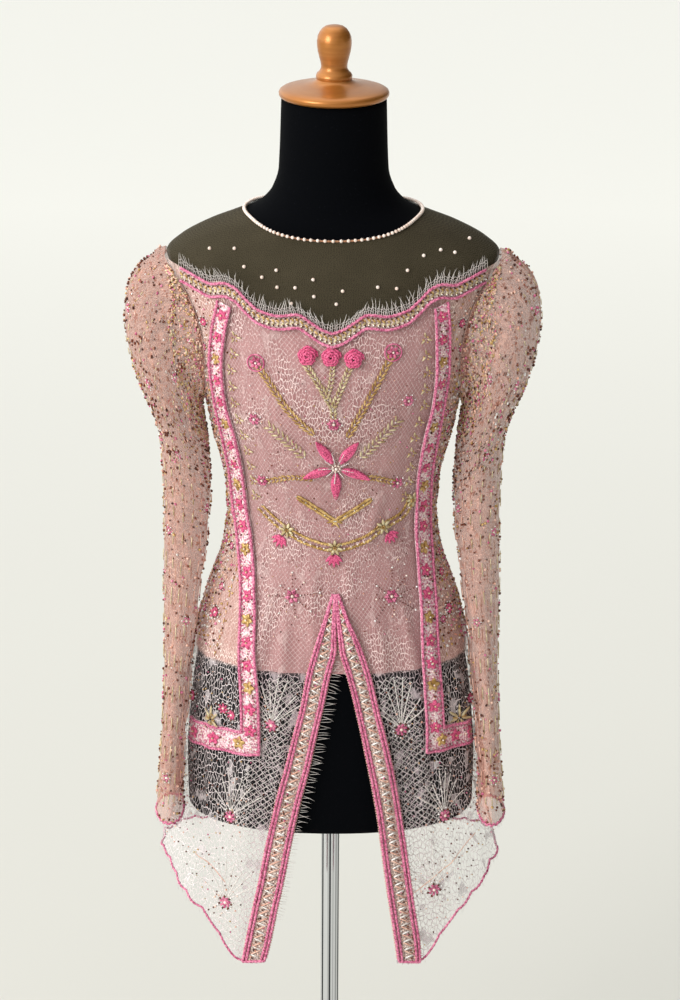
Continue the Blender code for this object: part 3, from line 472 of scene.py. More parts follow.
def copper_lacquer():
    """Turned beech under copper lacquer: a warm satin metal look with faint turning marks."""
    made, tree, shader = surface("copper_lacquer", "#aa6823", 0.34, 0.55, Coat_Weight=0.35,
                                 Coat_Roughness=0.18)
    where = add(tree, "TexCoord", {}).outputs["Object"]
    rings = add(tree, "Mapping", {"Vector": where, "Scale": (30.0, 30.0, 420.0)})
    cloud = add(tree, "TexNoise", {"Vector": rings, "Scale": 1.0, "Detail": 3.0})
    tint = add(tree, "Mix", {"Factor": cloud, "A": "#9c5a1a", "B": "#bb7b36"}, data_type="RGBA")
    bump = add(tree, "Bump", {"Height": cloud, "Strength": 0.12, "Distance": 0.0008})
    wire(shader, {"Base Color": tint, "Normal": bump})
    return made


def chromed_steel():
    """Polished chromed tube: bright, with a faint drift in its gloss down the tube and painted
    reflections of the room's dark edges in its colour.
    """
    made, tree, shader = surface("chromed_steel", "#d3d6da", 0.1, 1.0)
    where = add(tree, "TexCoord", {}).outputs["Object"]
    long_way = add(tree, "Mapping", {"Vector": where, "Scale": (260.0, 260.0, 6.0)})
    drift = add(tree, "TexNoise", {"Vector": long_way, "Scale": 1.0, "Detail": 2.0})
    gloss = add(tree, "MapRange", {"Value": drift, "To Min": 0.06, "To Max": 0.16})
    # painted reflection: dark upright bands in the colour round the tube stand in for the room's dark
    # edges mirrored in polished chrome
    place = add(tree, "SeparateXYZ", {"Vector": where})
    angle = add(tree, "Math", {0: place.outputs["Y"], 1: place.outputs["X"]}, operation="ARCTAN2")
    painted_reflection_streaks = add(tree, "TexNoise", {"W": angle, "Scale": 1.7, "Detail": 1.0},
                  noise_dimensions="1D")
    share = add(tree, "MapRange", {"Value": painted_reflection_streaks, "From Min": 0.44, "From Max": 0.52})
    tint = add(tree, "Mix", {"Factor": share, "A": "#26282d", "B": "#dfe1e5"}, data_type="RGBA")
    wire(shader, {"Roughness": gloss, "Base Color": tint})
    return made


def cloth_place(tree, across, along, drift=0.0, drift_size=20.0):
    """The cloth's own place from its UV map, in units of across by along millimetres.

    drift moves it by up to that many millimetres, unevenly, over drift_size millimetres."""
    where = add(tree, "UVMap", {}, uv_map=CLOTH_MAP)
    place = add(tree, "VectorMath", {0: where, 1: (1 / MM, 1 / MM, 0.0)}, operation="MULTIPLY")
    if drift:
        cloud = add(tree, "TexNoise", {"Vector": place, "Scale": 1 / drift_size, "Detail": 2.0})
        shift = add(tree, "VectorMath", {0: cloud.outputs["Color"], 1: (0.5, 0.5, 0.5)},
                    operation="SUBTRACT")
        place = add(tree, "VectorMath", {0: shift, 1: (2 * drift, 2 * drift, 0.0), 2: place},
                    operation="MULTIPLY_ADD")
    return add(tree, "VectorMath", {0: place, 1: (1 / across, 1 / along, 0.0)},
               operation="MULTIPLY")


def threads_between(tree, place, thick, uneven=1.0):
    """1 on the threads between cells of one unit, 0 inside them; thick is a share of a cell."""
    edge = add(tree, "TexVoronoi", {"Vector": place, "Scale": 1.0, "Randomness": uneven},
               voronoi_dimensions="2D", feature="DISTANCE_TO_EDGE")
    return add(tree, "MapRange", {"Value": edge, "From Min": thick * 0.6, "From Max": thick * 1.4,
                                  "To Min": 1.0, "To Max": 0.0})


def tulle(name, light, dark):
    """Fine nylon net, nearly clear; its 0.8 mm cells are drawn at 1.6 mm."""
    made, tree, shader = surface(name, light, 0.85, Specular_IOR_Level=0.2)
    net = threads_between(tree, cloth_place(tree, 1.6, 1.6), 0.16, 0.8)
    cloud = add(tree, "TexNoise", {"Vector": cloth_place(tree, 40.0, 40.0), "Scale": 1.0})
    tint = add(tree, "Mix", {"Factor": cloud, "A": dark, "B": light}, data_type="RGBA")
    closed = add(tree, "MapRange", {"Value": net, "To Min": 0.82, "To Max": 0.98})
    wire(shader, {"Base Color": tint, "Alpha": closed})
    return made


def satin_lining():
    """Light polyester satin in salmon pink: a soft sheen over a hardly seen twill."""
    made, tree, shader = surface("satin_lining", "#c99496", 0.5, Sheen_Weight=0.3,
                                 Sheen_Roughness=0.35)
    cloud = add(tree, "TexNoise", {"Vector": cloth_place(tree, 45.0, 90.0), "Scale": 1.0,
                                   "Detail": 2.0})
    tint = add(tree, "Mix", {"Factor": cloud, "A": "#bb878a", "B": "#d5a09f"}, data_type="RGBA")
    twill = add(tree, "TexNoise", {"Vector": cloth_place(tree, 0.7, 3.0), "Scale": 1.0})
    bump = add(tree, "Bump", {"Height": twill, "Strength": 0.2, "Distance": 0.0004})
    wire(shader, {"Base Color": tint, "Normal": bump})
    return made


def corded_lace(name, light, lined_light, tulle, dark, painted_gather_shade, cover, alone_cover):
    """Corded nylon lace: a net of diamonds, crinkled thicker threads, petals of closer work.

    Where it hangs alone its threads are light, over tulle; over a lining they are lined_light
    over dark, and in the gathers a darker colour, painted shade where the lace also lies doubled.
    cover is how far the ground closes over a lining and alone_cover where it hangs alone; the
    mesh's OPEN_SHARE values say where that is."""
    made, tree, shader = surface(name, light, 0.7, Sheen_Weight=0.3, Sheen_Roughness=0.4)
    alone = add(tree, "Attribute", {}, attribute_name=OPEN_SHARE).outputs["Fac"]
    # a net of diamonds 5 mm wide: two families of slanting threads
    place = add(tree, "SeparateXYZ", {"Vector": cloth_place(tree, 4.6, 6.4, 1.0, 20.0)})
    across, along = place.outputs["X"], place.outputs["Y"]
    one = add(tree, "Math", {0: add(tree, "Math", {0: across, 1: along}), 1: 0.5},
              operation="PINGPONG")
    other = add(tree, "Math", {0: add(tree, "Math", {0: across, 1: along}, operation="SUBTRACT"),
                               1: 0.5}, operation="PINGPONG")
    nearest = add(tree, "Math", {0: one, 1: other}, operation="MINIMUM")
    diamonds = add(tree, "MapRange", {"Value": nearest, "From Min": 0.05, "From Max": 0.12,
                                      "To Min": 0.75, "To Max": 0.0})
    # crinkled threads 2 to 3 mm apart, drawn out down the cloth
    waves = threads_between(tree, cloth_place(tree, 2.5, 7.0, 2.4, 7.0), 0.1)
    # the two kinds of ground change over in patches about 50 mm across
    patch = add(tree, "TexNoise", {"Vector": cloth_place(tree, 48.0, 70.0), "Scale": 1.0})
    share = add(tree, "MapRange", {"Value": patch, "From Min": 0.36, "From Max": 0.6})
    lined = add(tree, "Mix", {"Factor": share, "A": diamonds, "B": waves}, data_type="FLOAT")
    # where it hangs alone the mesh is drawn open, about 3 mm by 8
    open_net = threads_between(tree, cloth_place(tree, 3.3, 8.0, 3.0, 9.0), 0.058)
    threads = add(tree, "Mix", {"Factor": alone, "A": lined, "B": open_net}, data_type="FLOAT")
    # petals and leaves 12 to 20 mm long, ribbed along their length
    work = add(tree, "TexNoise", {"Vector": cloth_place(tree, 12.0, 24.0, 6.0, 26.0),
                                  "Scale": 1.0, "Detail": 1.0})
    petals = add(tree, "MapRange", {"Value": work, "From Min": 0.6, "From Max": 0.66})
    ribs = add(tree, "TexNoise", {"Vector": cloth_place(tree, 0.9, 6.0), "Scale": 1.0})
    ribbed = add(tree, "Math", {0: ribs, 1: 0.9, 2: 0.2}, operation="MULTIPLY_ADD")
    close = add(tree, "Math", {0: petals, 1: ribbed}, operation="MULTIPLY")
    ground = add(tree, "Mix", {"Factor": alone, "A": cover, "B": alone_cover}, data_type="FLOAT")
    either = add(tree, "Math", {0: ground, 1: close}, operation="MAXIMUM")
    closed = add(tree, "Math", {0: either, 1: threads}, operation="MAXIMUM", use_clamp=True)
    soft = add(tree, "Math", {0: close, 1: 0.6}, operation="MULTIPLY")
    raised = add(tree, "Math", {0: threads, 1: soft}, operation="MAXIMUM")
    # painted shade: gathers 5 mm wide that run down the cloth, darker inside, where shade falls and
    # the lace lies doubled
    gathers = add(tree, "TexNoise", {"Vector": cloth_place(tree, 5.0, 60.0, 3.0, 40.0),
                                     "Scale": 1.0})
    inside = add(tree, "MapRange", {"Value": gathers, "From Min": 0.42, "From Max": 0.6})
    gathered = add(tree, "Mix", {"Factor": inside, "A": painted_gather_shade, "B": dark}, data_type="RGBA")
    behind = add(tree, "Mix", {"Factor": alone, "A": gathered, "B": tulle}, data_type="RGBA")
    front = add(tree, "Mix", {"Factor": alone, "A": lined_light, "B": light}, data_type="RGBA")
    tint = add(tree, "Mix", {"Factor": raised, "A": behind, "B": front}, data_type="RGBA")
    bump = add(tree, "Bump", {"Height": raised, "Strength": 0.6, "Distance": 0.0008})
    wire(shader, {"Base Color": tint, "Alpha": closed, "Normal": bump})
    return made


def stitched(name, low, high, roughness=0.55, strand=1.1):
    """Rayon embroidery thread: fine mottled strands with a satin sheen."""
    made, tree, shader = surface(name, high, roughness, Sheen_Weight=0.4, Sheen_Roughness=0.35)
    where = add(tree, "TexCoord", {}).outputs["Object"]
    # strands are 0.4 mm thick; drawn thicker, so that light and dark ones show apart
    strands = add(tree, "TexNoise", {"Vector": where, "Scale": 1000 / strand, "Detail": 2.0})
    share = add(tree, "MapRange", {"Value": strands, "From Min": 0.36, "From Max": 0.62})
    tint = add(tree, "Mix", {"Factor": share, "A": low, "B": high}, data_type="RGBA")
    bump = add(tree, "Bump", {"Height": strands, "Strength": 0.5, "Distance": 0.0005})
    wire(shader, {"Base Color": tint, "Normal": bump})
    return made


def beads(name, low, high, roughness, metallic=0.0, **sockets):
    """Glass, metal or pearl beads; each one differs a little from the next."""
    made, tree, shader = surface(name, high, roughness, metallic, **sockets)
    where = add(tree, "TexCoord", {}).outputs["Object"]
    each = add(tree, "TexVoronoi", {"Vector": where, "Scale": 260.0}).outputs["Color"]
    pick = add(tree, "SeparateColor", {"Color": each})
    tint = add(tree, "Mix", {"Factor": pick, "A": low, "B": high}, data_type="RGBA")
    wire(shader, {"Base Color": tint})
    return made


def studio_paint():
    """Matt emulsion on the studio floor, hardly clouded, with painted light and shade: darker near the
    stand, where the window lamp lights it, and paler far back, where only the air lights it.
    """
    made, tree, shader = surface("studio_paint", "#ecebe4", 0.9)
    where = add(tree, "TexCoord", {}).outputs["Object"]
    cloud = add(tree, "TexNoise", {"Vector": where, "Scale": 0.7, "Detail": 2.0})
    back = add(tree, "SeparateXYZ", {"Vector": where}).outputs["Y"]
    # painted light and shade: paler towards the back and darker near the stand, to offset where the
    # lamp's light falls
    pale = add(tree, "MapRange", {"Value": back, "From Min": 0.3, "From Max": 5.0})
    near = add(tree, "Mix", {"Factor": cloud, "A": "#cfcec8", "B": "#d5d4ce"}, data_type="RGBA")
    tint = add(tree, "Mix", {"Factor": pale, "A": near, "B": "#faf9f4"}, data_type="RGBA")
    wire(shader, {"Base Color": tint})
    return made


# ---- meshes ---------------------------------------------------------------------------------
def new_mesh(name, points, faces, smooth=True):
    """points is an (N, 3) array in millimetres, faces a list of index tuples or an array."""
    mesh = bpy.data.meshes.new(name)
    mesh.from_pydata((np.asarray(points) * MM).tolist(), [], [tuple(f) for f in faces])
    mesh.update()
    if smooth:
        mesh.shade_smooth()
    return mesh


def piece(name, mesh, material, stands_for=()):
    """A shown piece that rides on the one body and may stand for solids."""
    mesh.materials.append(material)
    made = bpy.data.objects.new(name, mesh)
    bpy.context.scene.collection.objects.link(made)
    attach(made, "root")
    if stands_for:
        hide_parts(*stands_for)
    return made


def grid_faces(rows, columns, closed=False, flip=False, start=0):
    """Quads of a grid of points stored row by row; closed joins the last column to the first."""
    r = np.arange(rows - 1)[:, None] * columns
    c = np.arange(columns if closed else columns - 1)[None, :]
    after = (c + 1) % columns
    quads = np.stack((r + c, r + after, r + columns + after, r + columns + c), -1).reshape(-1, 4)
    if flip:
        quads = quads[:, ::-1]
    return quads + start


def capped_faces(rows, columns):
    """Faces of a tube of rows rings whose two ends are closed."""
    first, last = range(columns), range((rows - 1) * columns, rows * columns)
    return [*grid_faces(rows, columns, closed=True).tolist(), first[::-1], last]


def cloth_mesh(name, grids, flip=False, closed=False):
    """A sheet from grids of (points, across and down millimetres, share that hangs alone).

    A closed sheet's pattern has one more column than its points, so that it runs on."""
    points, faces, corners, where, shares = [], [], [], [], []
    count = count_where = 0
    for grid, across, down, alone in grids:
        rows, columns = grid.shape[:2]
        across, down = np.broadcast_arrays(across, down)
        faces.append(grid_faces(rows, columns, closed, flip, count))
        corners.append(grid_faces(rows, across.shape[1], False, flip, count_where))
        points.append(grid.reshape(-1, 3))
        where.append(np.stack((across.ravel(), down.ravel()), -1))
        shares.append(np.broadcast_to(alone, (rows, columns)).ravel())
        count += rows * columns
        count_where += across.size
    mesh = new_mesh(name, np.concatenate(points), np.concatenate(faces))
    layer = mesh.uv_layers.new(name=CLOTH_MAP)
    places = np.concatenate(where)[np.concatenate(corners).ravel()]
    layer.data.foreach_set("uv", (places * MM).ravel().astype(np.float32))
    values = mesh.attributes.new(OPEN_SHARE, "FLOAT", "POINT")
    values.data.foreach_set("value", np.concatenate(shares).astype(np.float32))
    return mesh


class Heap:
    """Gathers many small things into one mesh."""

    def __init__(self):
        self.points, self.faces, self.count = [], [], 0

    def add(self, points, faces):
        points = np.asarray(points, float).reshape(-1, 3)
        self.points.append(points)
        self.faces += [tuple(i + self.count for i in face) for face in faces]
        self.count += len(points)

    def scatter(self, shape, places, size, turn=0.0, lift=0.0):
        """One copy of shape on each place; size is one number, one for each, or (n, 3)."""
        form, faces = shape
        origin = np.atleast_2d(places.origin) + np.atleast_2d(places.out) * lift
        right, up, out = (np.atleast_2d(v) for v in (places.right, places.up, places.out))
        n = len(origin)
        size = np.asarray(size, float)
        size = np.broadcast_to(size if size.ndim == 2 else size.reshape(-1, 1), (n, 3))
        turn = np.broadcast_to(np.asarray(turn, float), (n,))[:, None]
        x_way = right * np.cos(turn) + up * np.sin(turn)
        y_way = up * np.cos(turn) - right * np.sin(turn)
        local = form[None] * size[:, None, :]
        points = (origin[:, None] + local[..., :1] * x_way[:, None]
                  + local[..., 1:2] * y_way[:, None] + local[..., 2:] * out[:, None])
        self.points.append(points.reshape(-1, 3))
        for k in range(n):
            base = self.count + k * len(form)
            self.faces += [tuple(i + base for i in face) for face in faces]
        self.count += n * len(form)

    def piece(self, name, material, slot, stands_for=()):
        mesh = new_mesh(name, np.concatenate(self.points), self.faces)
        piece(name, mesh, material, stands_for)


def ball(sides, rings):
    """A unit ball as (points, faces), closed flat under its lowest ring."""
    points, faces = [(0, 0, 1.0)], []
    for r in range(1, rings):
        tilt = math.pi * r / rings
        points += [(math.sin(tilt) * math.cos(math.tau * k / sides),
                    math.sin(tilt) * math.sin(math.tau * k / sides), math.cos(tilt))
                   for k in range(sides)]
    for k in range(sides):
        after = (k + 1) % sides
        faces.append((0, 1 + k, 1 + after))
        for r in range(rings - 2):
            faces.append((1 + r * sides + k, 1 + (r + 1) * sides + k,
                          1 + (r + 1) * sides + after, 1 + r * sides + after))
    faces.append(tuple(reversed(range(len(points) - sides, len(points)))))
    return np.array(points), faces


def leaf_shape(steps=5):
    """A domed leaf from (0, 0) to (0, 1), one unit wide, creased down its middle."""
    points = [(0, 0, 0.0)]
    for s in range(1, steps):
        t = s / steps
        wide = 0.5 * math.sin(math.pi * t ** 0.8) ** 0.8
        points += [(-wide, t, 0.0), (-wide * 0.55, t, 0.75), (0, t, 0.45), (wide * 0.55, t, 0.75),
                   (wide, t, 0.0)]
    points.append((0, 1, 0.0))
    last = len(points) - 1
    faces = []
    for k in range(4):
        faces.append((0, 1 + k + 1, 1 + k))
        faces.append((last, last - 5 + k, last - 4 + k))
        for s in range(steps - 2):
            here = 1 + 5 * s + k
            faces.append((here, here + 1, here + 6, here + 5))
    outline = [0] + [1 + 5 * s for s in range(steps - 1)] + [last]
    outline += [5 + 5 * s for s in reversed(range(steps - 1))]
    faces.append(tuple(outline))
    return np.array(points, float), faces


def rod(sides):
    """A bugle bead along y from -0.5 to 0.5."""
    ring = [(math.cos(math.tau * k / sides) * 0.5, math.sin(math.tau * k / sides) * 0.5)
            for k in range(sides)]
    points = [(x, -0.5, z) for x, z in ring] + [(x, 0.5, z) for x, z in ring]
    faces = [(k, k + sides, (k + 1) % sides + sides, (k + 1) % sides) for k in range(sides)]
    faces += [tuple(range(sides)), tuple(reversed(range(sides, 2 * sides)))]
    return np.array(points), faces


def ribbed_leaf(ribs=13):
    """A long petal whose stitches lie across it as low ribs."""
    points, faces = leaf_shape(2 * ribs)
    high = 1 - 0.28 * (np.round(points[:, 1] * 2 * ribs) % 2)
    points[:, 2] *= high
    return points, faces


SEED, PEARL, BUGLE = ball(5, 3), ball(8, 5), rod(5)
LEAF, LEAF_RIBBED = leaf_shape(), ribbed_leaf()


def along(points, step):
    """A polyline's points, evenly spaced by about step."""
    points = np.asarray(points, float)
    gone = np.concatenate(([0], np.cumsum(np.linalg.norm(np.diff(points, axis=0), axis=1))))
    count = max(2, int(round(gone[-1] / step)) + 1)
    at = np.linspace(0, gone[-1], count)
    return np.stack([np.interp(at, gone, points[:, k]) for k in range(points.shape[1])], -1)


def smooth_path(points, parts=8):
    """A smooth line through a few points of any dimension (Catmull-Rom)."""
    p = np.asarray(points, float)
    p = np.concatenate((p[:1] * 2 - p[1:2], p, p[-1:] * 2 - p[-2:-1]))
    t = np.linspace(0, 1, parts, endpoint=False)[:, None]
    spans = []
    for i in range(1, len(p) - 2):
        a, b, c, d = p[i - 1], p[i], p[i + 1], p[i + 2]
        spans.append(0.5 * (2 * b + (c - a) * t + (2 * a - 5 * b + 4 * c - d) * t**2
                            + (3 * b - 3 * c + d - a) * t**3))
    return np.concatenate(spans + [p[-2:-1]])


Line = namedtuple("Line", "origin out")      # points, and directions away from the cloth


def add_cord(heap, line, radius, pitch, sides=6):
    """Twisted two-strand cord along a line, or along places."""
    points, outs = line.origin, line.out
    ahead = unit(np.gradient(points, axis=0))
    up = unit(outs - ahead * np.sum(outs * ahead, -1, keepdims=True))
    side = np.cross(ahead, up)
    gone = np.concatenate(([0], np.cumsum(np.linalg.norm(np.diff(points, axis=0), axis=1))))
    angle = np.arange(sides) / sides * math.tau
    phase = gone / pitch * math.pi
    swell = 0.52 + 0.58 * np.abs(np.cos(angle[None] - phase[:, None]))
    around = (side[:, None] * np.cos(angle)[None, :, None]
              + up[:, None] * np.sin(angle)[None, :, None])
    ring = points[:, None] + around * (radius * swell)[..., None]
    heap.add(ring, capped_faces(len(points), sides))


def add_strand(heap, root, way, bend, length, radius, parts):
    """One tapered thread of three sides."""
    way, bend = unit(np.asarray(way, float)), np.asarray(bend, float)
    side = unit(np.cross(way, bend + np.array((0.01, 0.02, 0.0))))
    other = np.cross(way, side)
    t = np.arange(parts)[:, None, None] / parts
    angle = np.arange(3)[:, None] * math.tau / 3
    around = (side * np.cos(angle) + other * np.sin(angle)) * radius * (1 - 0.6 * t)
    rings = (root + way * length * t + bend * length * t * t + around).reshape(-1, 3)
    tip = len(rings)
    faces = grid_faces(parts, 3, closed=True).tolist()
    faces += [(tip - 3 + k, tip - 3 + (k + 1) % 3, tip) for k in range(3)]
    heap.add(np.concatenate((rings, [root + way * length + bend * length])), faces)


# ---- dress form and stand -------------------------------------------------------------------
def add_turned(name, profile, material, stands_for):
    """A profile of (r, z) from the top down, turned round the upright axis."""
    top, foot = (MIDDLE_POINT, profile[0][1]), (MIDDLE_POINT, profile[-1][1])
    r, z = np.array([top, *profile, foot], float).T[..., None]
    angles = np.arange(TURNED_SIDES) / TURNED_SIDES * math.tau
    rings = np.stack((r * np.cos(angles), -r * np.sin(angles), z + 0 * angles), -1)
    mesh = new_mesh(name, rings.reshape(-1, 3), capped_faces(len(rings), TURNED_SIDES))
    mesh.set_sharp_from_angle(angle=math.radians(50))
    piece(name, mesh, material, stands_for)


# lowest row, highest row and their number: closest together over the shoulders
FORM_ROWS = ((575, 1255, 64), (1259, 1345, 44), (1350, 1438, 14))
FORM_COLUMNS = 108


def make_form(jersey):
    """The torso: smooth, limbless, its jersey drawn over one padded shape."""
    heights = np.concatenate([np.linspace(*rows) for rows in FORM_ROWS])
    turns = np.linspace(-180, 180, FORM_COLUMNS + 1)[:-1]
    relief = FORM_RELIEF * smooth_step((RELIEF_ENDS - heights) / (RELIEF_ENDS - RELIEF_FULL))
    grid = cloth(turns[None, :], heights[:, None], -relief[:, None], eased=False)
    grid[..., 2] = heights[:, None]
    # the lower edge turns in to a flat board
    board = grid[0] * (0.955, 0.955, 1)
    rim = grid[0] * (0.985, 0.985, 1) + (0, 0, 1.2)
    grid[0, :, 2] += 5.0
    rings = np.stack((board, rim, *grid))
    mesh = new_mesh("dress_form", rings.reshape(-1, 3), capped_faces(len(rings), len(turns)))
    piece("dress_form", mesh, jersey, ("form_torso",))


CAP = [
    (2, 1520), (6, 1519.7), (10, 1518.6), (13.6, 1516.2), (16.6, 1512.4), (18.6, 1507.6),
    (19.4, 1502.4), (19.3, 1496.6), (18.4, 1490.6), (16.9, 1484.6), (15.4, 1479), (14.7, 1474.8),
    (14.9, 1471.6), (16.6, 1468.6), (19.2, 1466.2), (20.4, 1463.6), (20.3, 1461), (19.7, 1459.4),
    (21, 1457.6), (25.4, 1455.3), (34, 1453.2), (44, 1451.6), (53, 1450), (58.4, 1448.4),
    (61, 1446.6), (61.9, 1444.4), (61.6, 1441.8), (60.2, 1439.9), (58.4, 1438.9), (56, 1438.3),
]
STAND = [
    (10.6, 574.7), (11, 574), (11, 520), (11, 300), (11, 40), (11.2, 35.4), (17, 34.6),
    (18.6, 33.4), (19, 31), (19, 16), (20.5, 13.2), (24, 12), (60, 10.6), (110, 8.6), (150, 6.9),
    (160, 6.2), (165, 5.2), (167.6, 3.2), (168, 1.4), (167.4, 0.3), (165, 0),
]


# ---- yoke, neck and lining ------------------------------------------------------------------
def settled(left, right, z, height):
    """Turns and heights of a grid: left(z) and right(z) give its edges' turns, height(turn) z."""
    share = np.linspace(0, 1, z.shape[1])[None, :]
    for _ in range(SETTLE):
        z = height(mix(left(z), right(z), share))
    return mix(left(z), right(z), share), z


def front_edges():
    """The two edges of the whole front, from left to right."""
    return (lambda z: -side_edge(z)), side_edge


def back_edges(side):
    """The two edges of a back, from left to right: its side seam and the zip."""
    edges = (lambda z: side * side_edge(z, True)), (lambda z: 0 * z + side * ZIP_TURN)
    return edges if side > 0 else edges[::-1]


def back_top(turn):
    """Height of the straight top edge of the back lace."""
    return np.full(np.shape(turn), float(BACK_LACE_TOP))


def yoke_grid(left, right, columns, bottom):
    """A yoke piece from the neckline down to 3 mm under the lace's top edge."""
    down = np.linspace(0, 1, YOKE_ROWS)[:, None]
    start = np.full((YOKE_ROWS, columns), float(NECK_FRONT))
    turn, z = settled(left, right, start, lambda t: mix(neck_height(t), bottom(t) - 3, down))
    return draped(turn, z, YOKE_OFF), turn * TURN_MM, z, 0.0


def make_yoke(net):
    """The net yoke: one front and two backs."""
    sheets = [("yoke_net_front", yoke_grid(*front_edges(), 130, front_top), "yoke_front")]
    for side, name in reversed(SIDES):
        grid = yoke_grid(*back_edges(side), 70, back_top)
        sheets.append(("yoke_net_back_" + name, grid, "yoke_back_" + name))
    for name, grid, node in sheets:
        made = piece(name, cloth_mesh(name, [grid]), net, (node,))


def body_grid(left, right, columns, heights, top):
    """A body piece: rows follow heights, the first ones close up under the top edge."""
    rows = heights[:, None]
    down = np.where(rows > TOP_FOLLOWS, (rows[0] - rows) / (rows[0] - TOP_FOLLOWS), 1.0)
    return settled(left, right, np.repeat(rows, columns, axis=1),
                   lambda t: np.where(rows > TOP_FOLLOWS, mix(top(t), TOP_FOLLOWS, down), rows))


def make_lining(satin):
    """The lining under the lace: one front and two backs, down to the hips."""
    heights = np.concatenate((np.linspace(SHEET_TOP, TOP_FOLLOWS, 24, endpoint=False),
                              np.linspace(TOP_FOLLOWS, LINING_HEM, 90)))
    sheets = [("front", front_edges(), 80, lambda t: front_top(t) - 9)]
    for side, name in reversed(SIDES):
        sheets.append(("back_" + name, back_edges(side), 46, lambda t: back_top(t) - 12))
    for part, edges, columns, top in sheets:
        name = "lining_of_" + part
        turn, z = body_grid(*edges, columns, heights, top)
        grid = (draped(turn, z, LINING_OFF), turn * TURN_MM, z, 0.0)
        made = piece(name, cloth_mesh(name, [grid]), satin, ("lining_" + part,))


# ---- lace body ------------------------------------------------------------------------------
def share_alone(z):
    """1 where the lace hangs alone, below the lining."""
    return smooth_step((LINING_HEM + 2 - z) / 4)


def lace_grid(left, right, columns, top):
    """One piece of lace from its top edge to the scalloped hem."""
    heights = np.concatenate((np.linspace(SHEET_TOP, TOP_FOLLOWS, 26, endpoint=False),
                              np.linspace(TOP_FOLLOWS, SLIT_TOP, 130, endpoint=False)))
    down = np.linspace(0, 1, SKIRT_ROWS)[:, None]
    start = np.full((SKIRT_ROWS, columns), float(SLIT_TOP))
    upper = body_grid(left, right, columns, heights, top)
    skirt = settled(left, right, start, lambda t: mix(float(SLIT_TOP), hem_height(t), down))
    turn, z = (np.concatenate(both) for both in zip(upper, skirt))
    return draped(turn, z, LACE_OFF), turn * TURN_MM, z, share_alone(z)


def centre_edges(side):
    """The two edges of one half of the centre front, from left to right."""
    edges = (lambda z: seam_turn(z, side) - side * SEAM_DEGREES), (lambda z: opening_edge(z, side))
    return edges if side < 0 else edges[::-1]


def side_front_edges(side):
    """The two edges of a side front, from left to right."""
    edges = (lambda z: side * side_edge(z)), (lambda z: seam_turn(z, side) + side * SEAM_DEGREES)
    return edges if side < 0 else edges[::-1]


def make_lace(lace, side_lace):
    """Centre front in two halves joined above the opening, side fronts and backs."""
    halves = [lace_grid(*centre_edges(side), 46, front_top) for side, name in SIDES]
    sheets = [("centre_front", "front_centre", halves, lace)]
    for side, name in SIDES:
        sheets.append(("side_" + name, "side_front_" + name,
                       [lace_grid(*side_front_edges(side), 34, front_top)], side_lace))
        sheets.append(("back_" + name, "back_" + name,
                       [lace_grid(*back_edges(side), 64, back_top)], side_lace))
    for name, node, grids, material in sheets:
        mesh = cloth_mesh("lace_" + name, grids)
        piece("lace_" + name, mesh, material, (node,))


# ---- sleeves --------------------------------------------------------------------------------
def make_sleeves(lace):
    """Gathered heads, then long close sleeves; the pattern joins at the inside of the arm."""
    angles = math.pi + np.linspace(0, math.tau, SLEEVE_COLUMNS + 1)
    places = np.concatenate((np.linspace(-1, 0, 10, endpoint=False),
                             np.linspace(0, 7, 84, endpoint=False), np.linspace(7, LAST_RING, 90)))
    down = np.concatenate(([0], np.cumsum(np.linalg.norm(
        np.diff(sleeve_core(0.0, places), axis=0), axis=1))))
    at = {name: curve(np.maximum(places, 0)) for name, curve in SLEEVE_AT.items()}
    wide = np.hypot(at["x_out"] - at["x_in"], at["z_out"] - at["z_in"]) / 2
    across = (angles[None, :] - math.tau) * ((wide + at["depth"]) / 2)[:, None]
    for side, name in SIDES:
        grid = sleeve(side, angles[None, :-1], places[:, None], -0.4)
        mesh = cloth_mesh("lace_sleeve_" + name, [(grid, across, down[:, None], SLEEVE_ALONE)],
                          side > 0, closed=True)
        made = piece("lace_sleeve_" + name, mesh, lace,
                     ("sleeve_upper_" + name, "sleeve_lower_" + name))


# ---- corded bands ---------------------------------------------------------------------------
# each band is a function of how far along it (0 to 1), how far across (0 to 1) and off
def top_band(t, across, off):
    """Along the sweetheart edge, from left to right."""
    x = mix(-TOP_BAND_REACH, TOP_BAND_REACH, np.asarray(t, float))
    z = sweetheart(x) - 1 - TOP_BAND_WIDE * (1 - np.asarray(across, float))
    return front_place(x, z, off)


def panel_band(side):
    """Down the front seam, then outwards along a foot."""
    def at(t, across, off):
        t, across = np.broadcast_arrays(np.asarray(t, float), np.asarray(across, float))
        down = np.minimum(t / PANEL_FOOT_FROM, 1.0)
        out = np.clip((t - PANEL_FOOT_FROM) / (1 - PANEL_FOOT_FROM), 0, 1)
        z = mix(mix(PANEL_TOP_INNER, PANEL_TOP_OUTER, across),
                mix(BAND_FOOT_Z, BAND_TURN_Z, across), down)
        turn = mix(band_turn(z, side, across), side * BAND_FOOT_TURN, out)
        return body_place(turn, z - BAND_FOOT_DROP * out, off)
    return at


def slit_band(side):
    """Down the edge of the front opening."""
    def at(t, across, off):
        t, across = np.broadcast_arrays(np.asarray(t, float), np.asarray(across, float))
        z = mix(float(SLIT_APEX), mix(SLIT_TIP_INNER, SLIT_TIP_OUTER, across), t)
        return body_place(slit_turn(z, side, mix(0.03, 1.0, across)), z, off)
    return at


# a band: its solid, its function, its size, where its cords lie, its colour and its beads
Trim = namedtuple("Trim", "name node at length wide cords colour work")
TWO_CORDS, FOUR_CORDS = (0.05, 0.95), (0.05, 0.19, 0.81, 0.95)


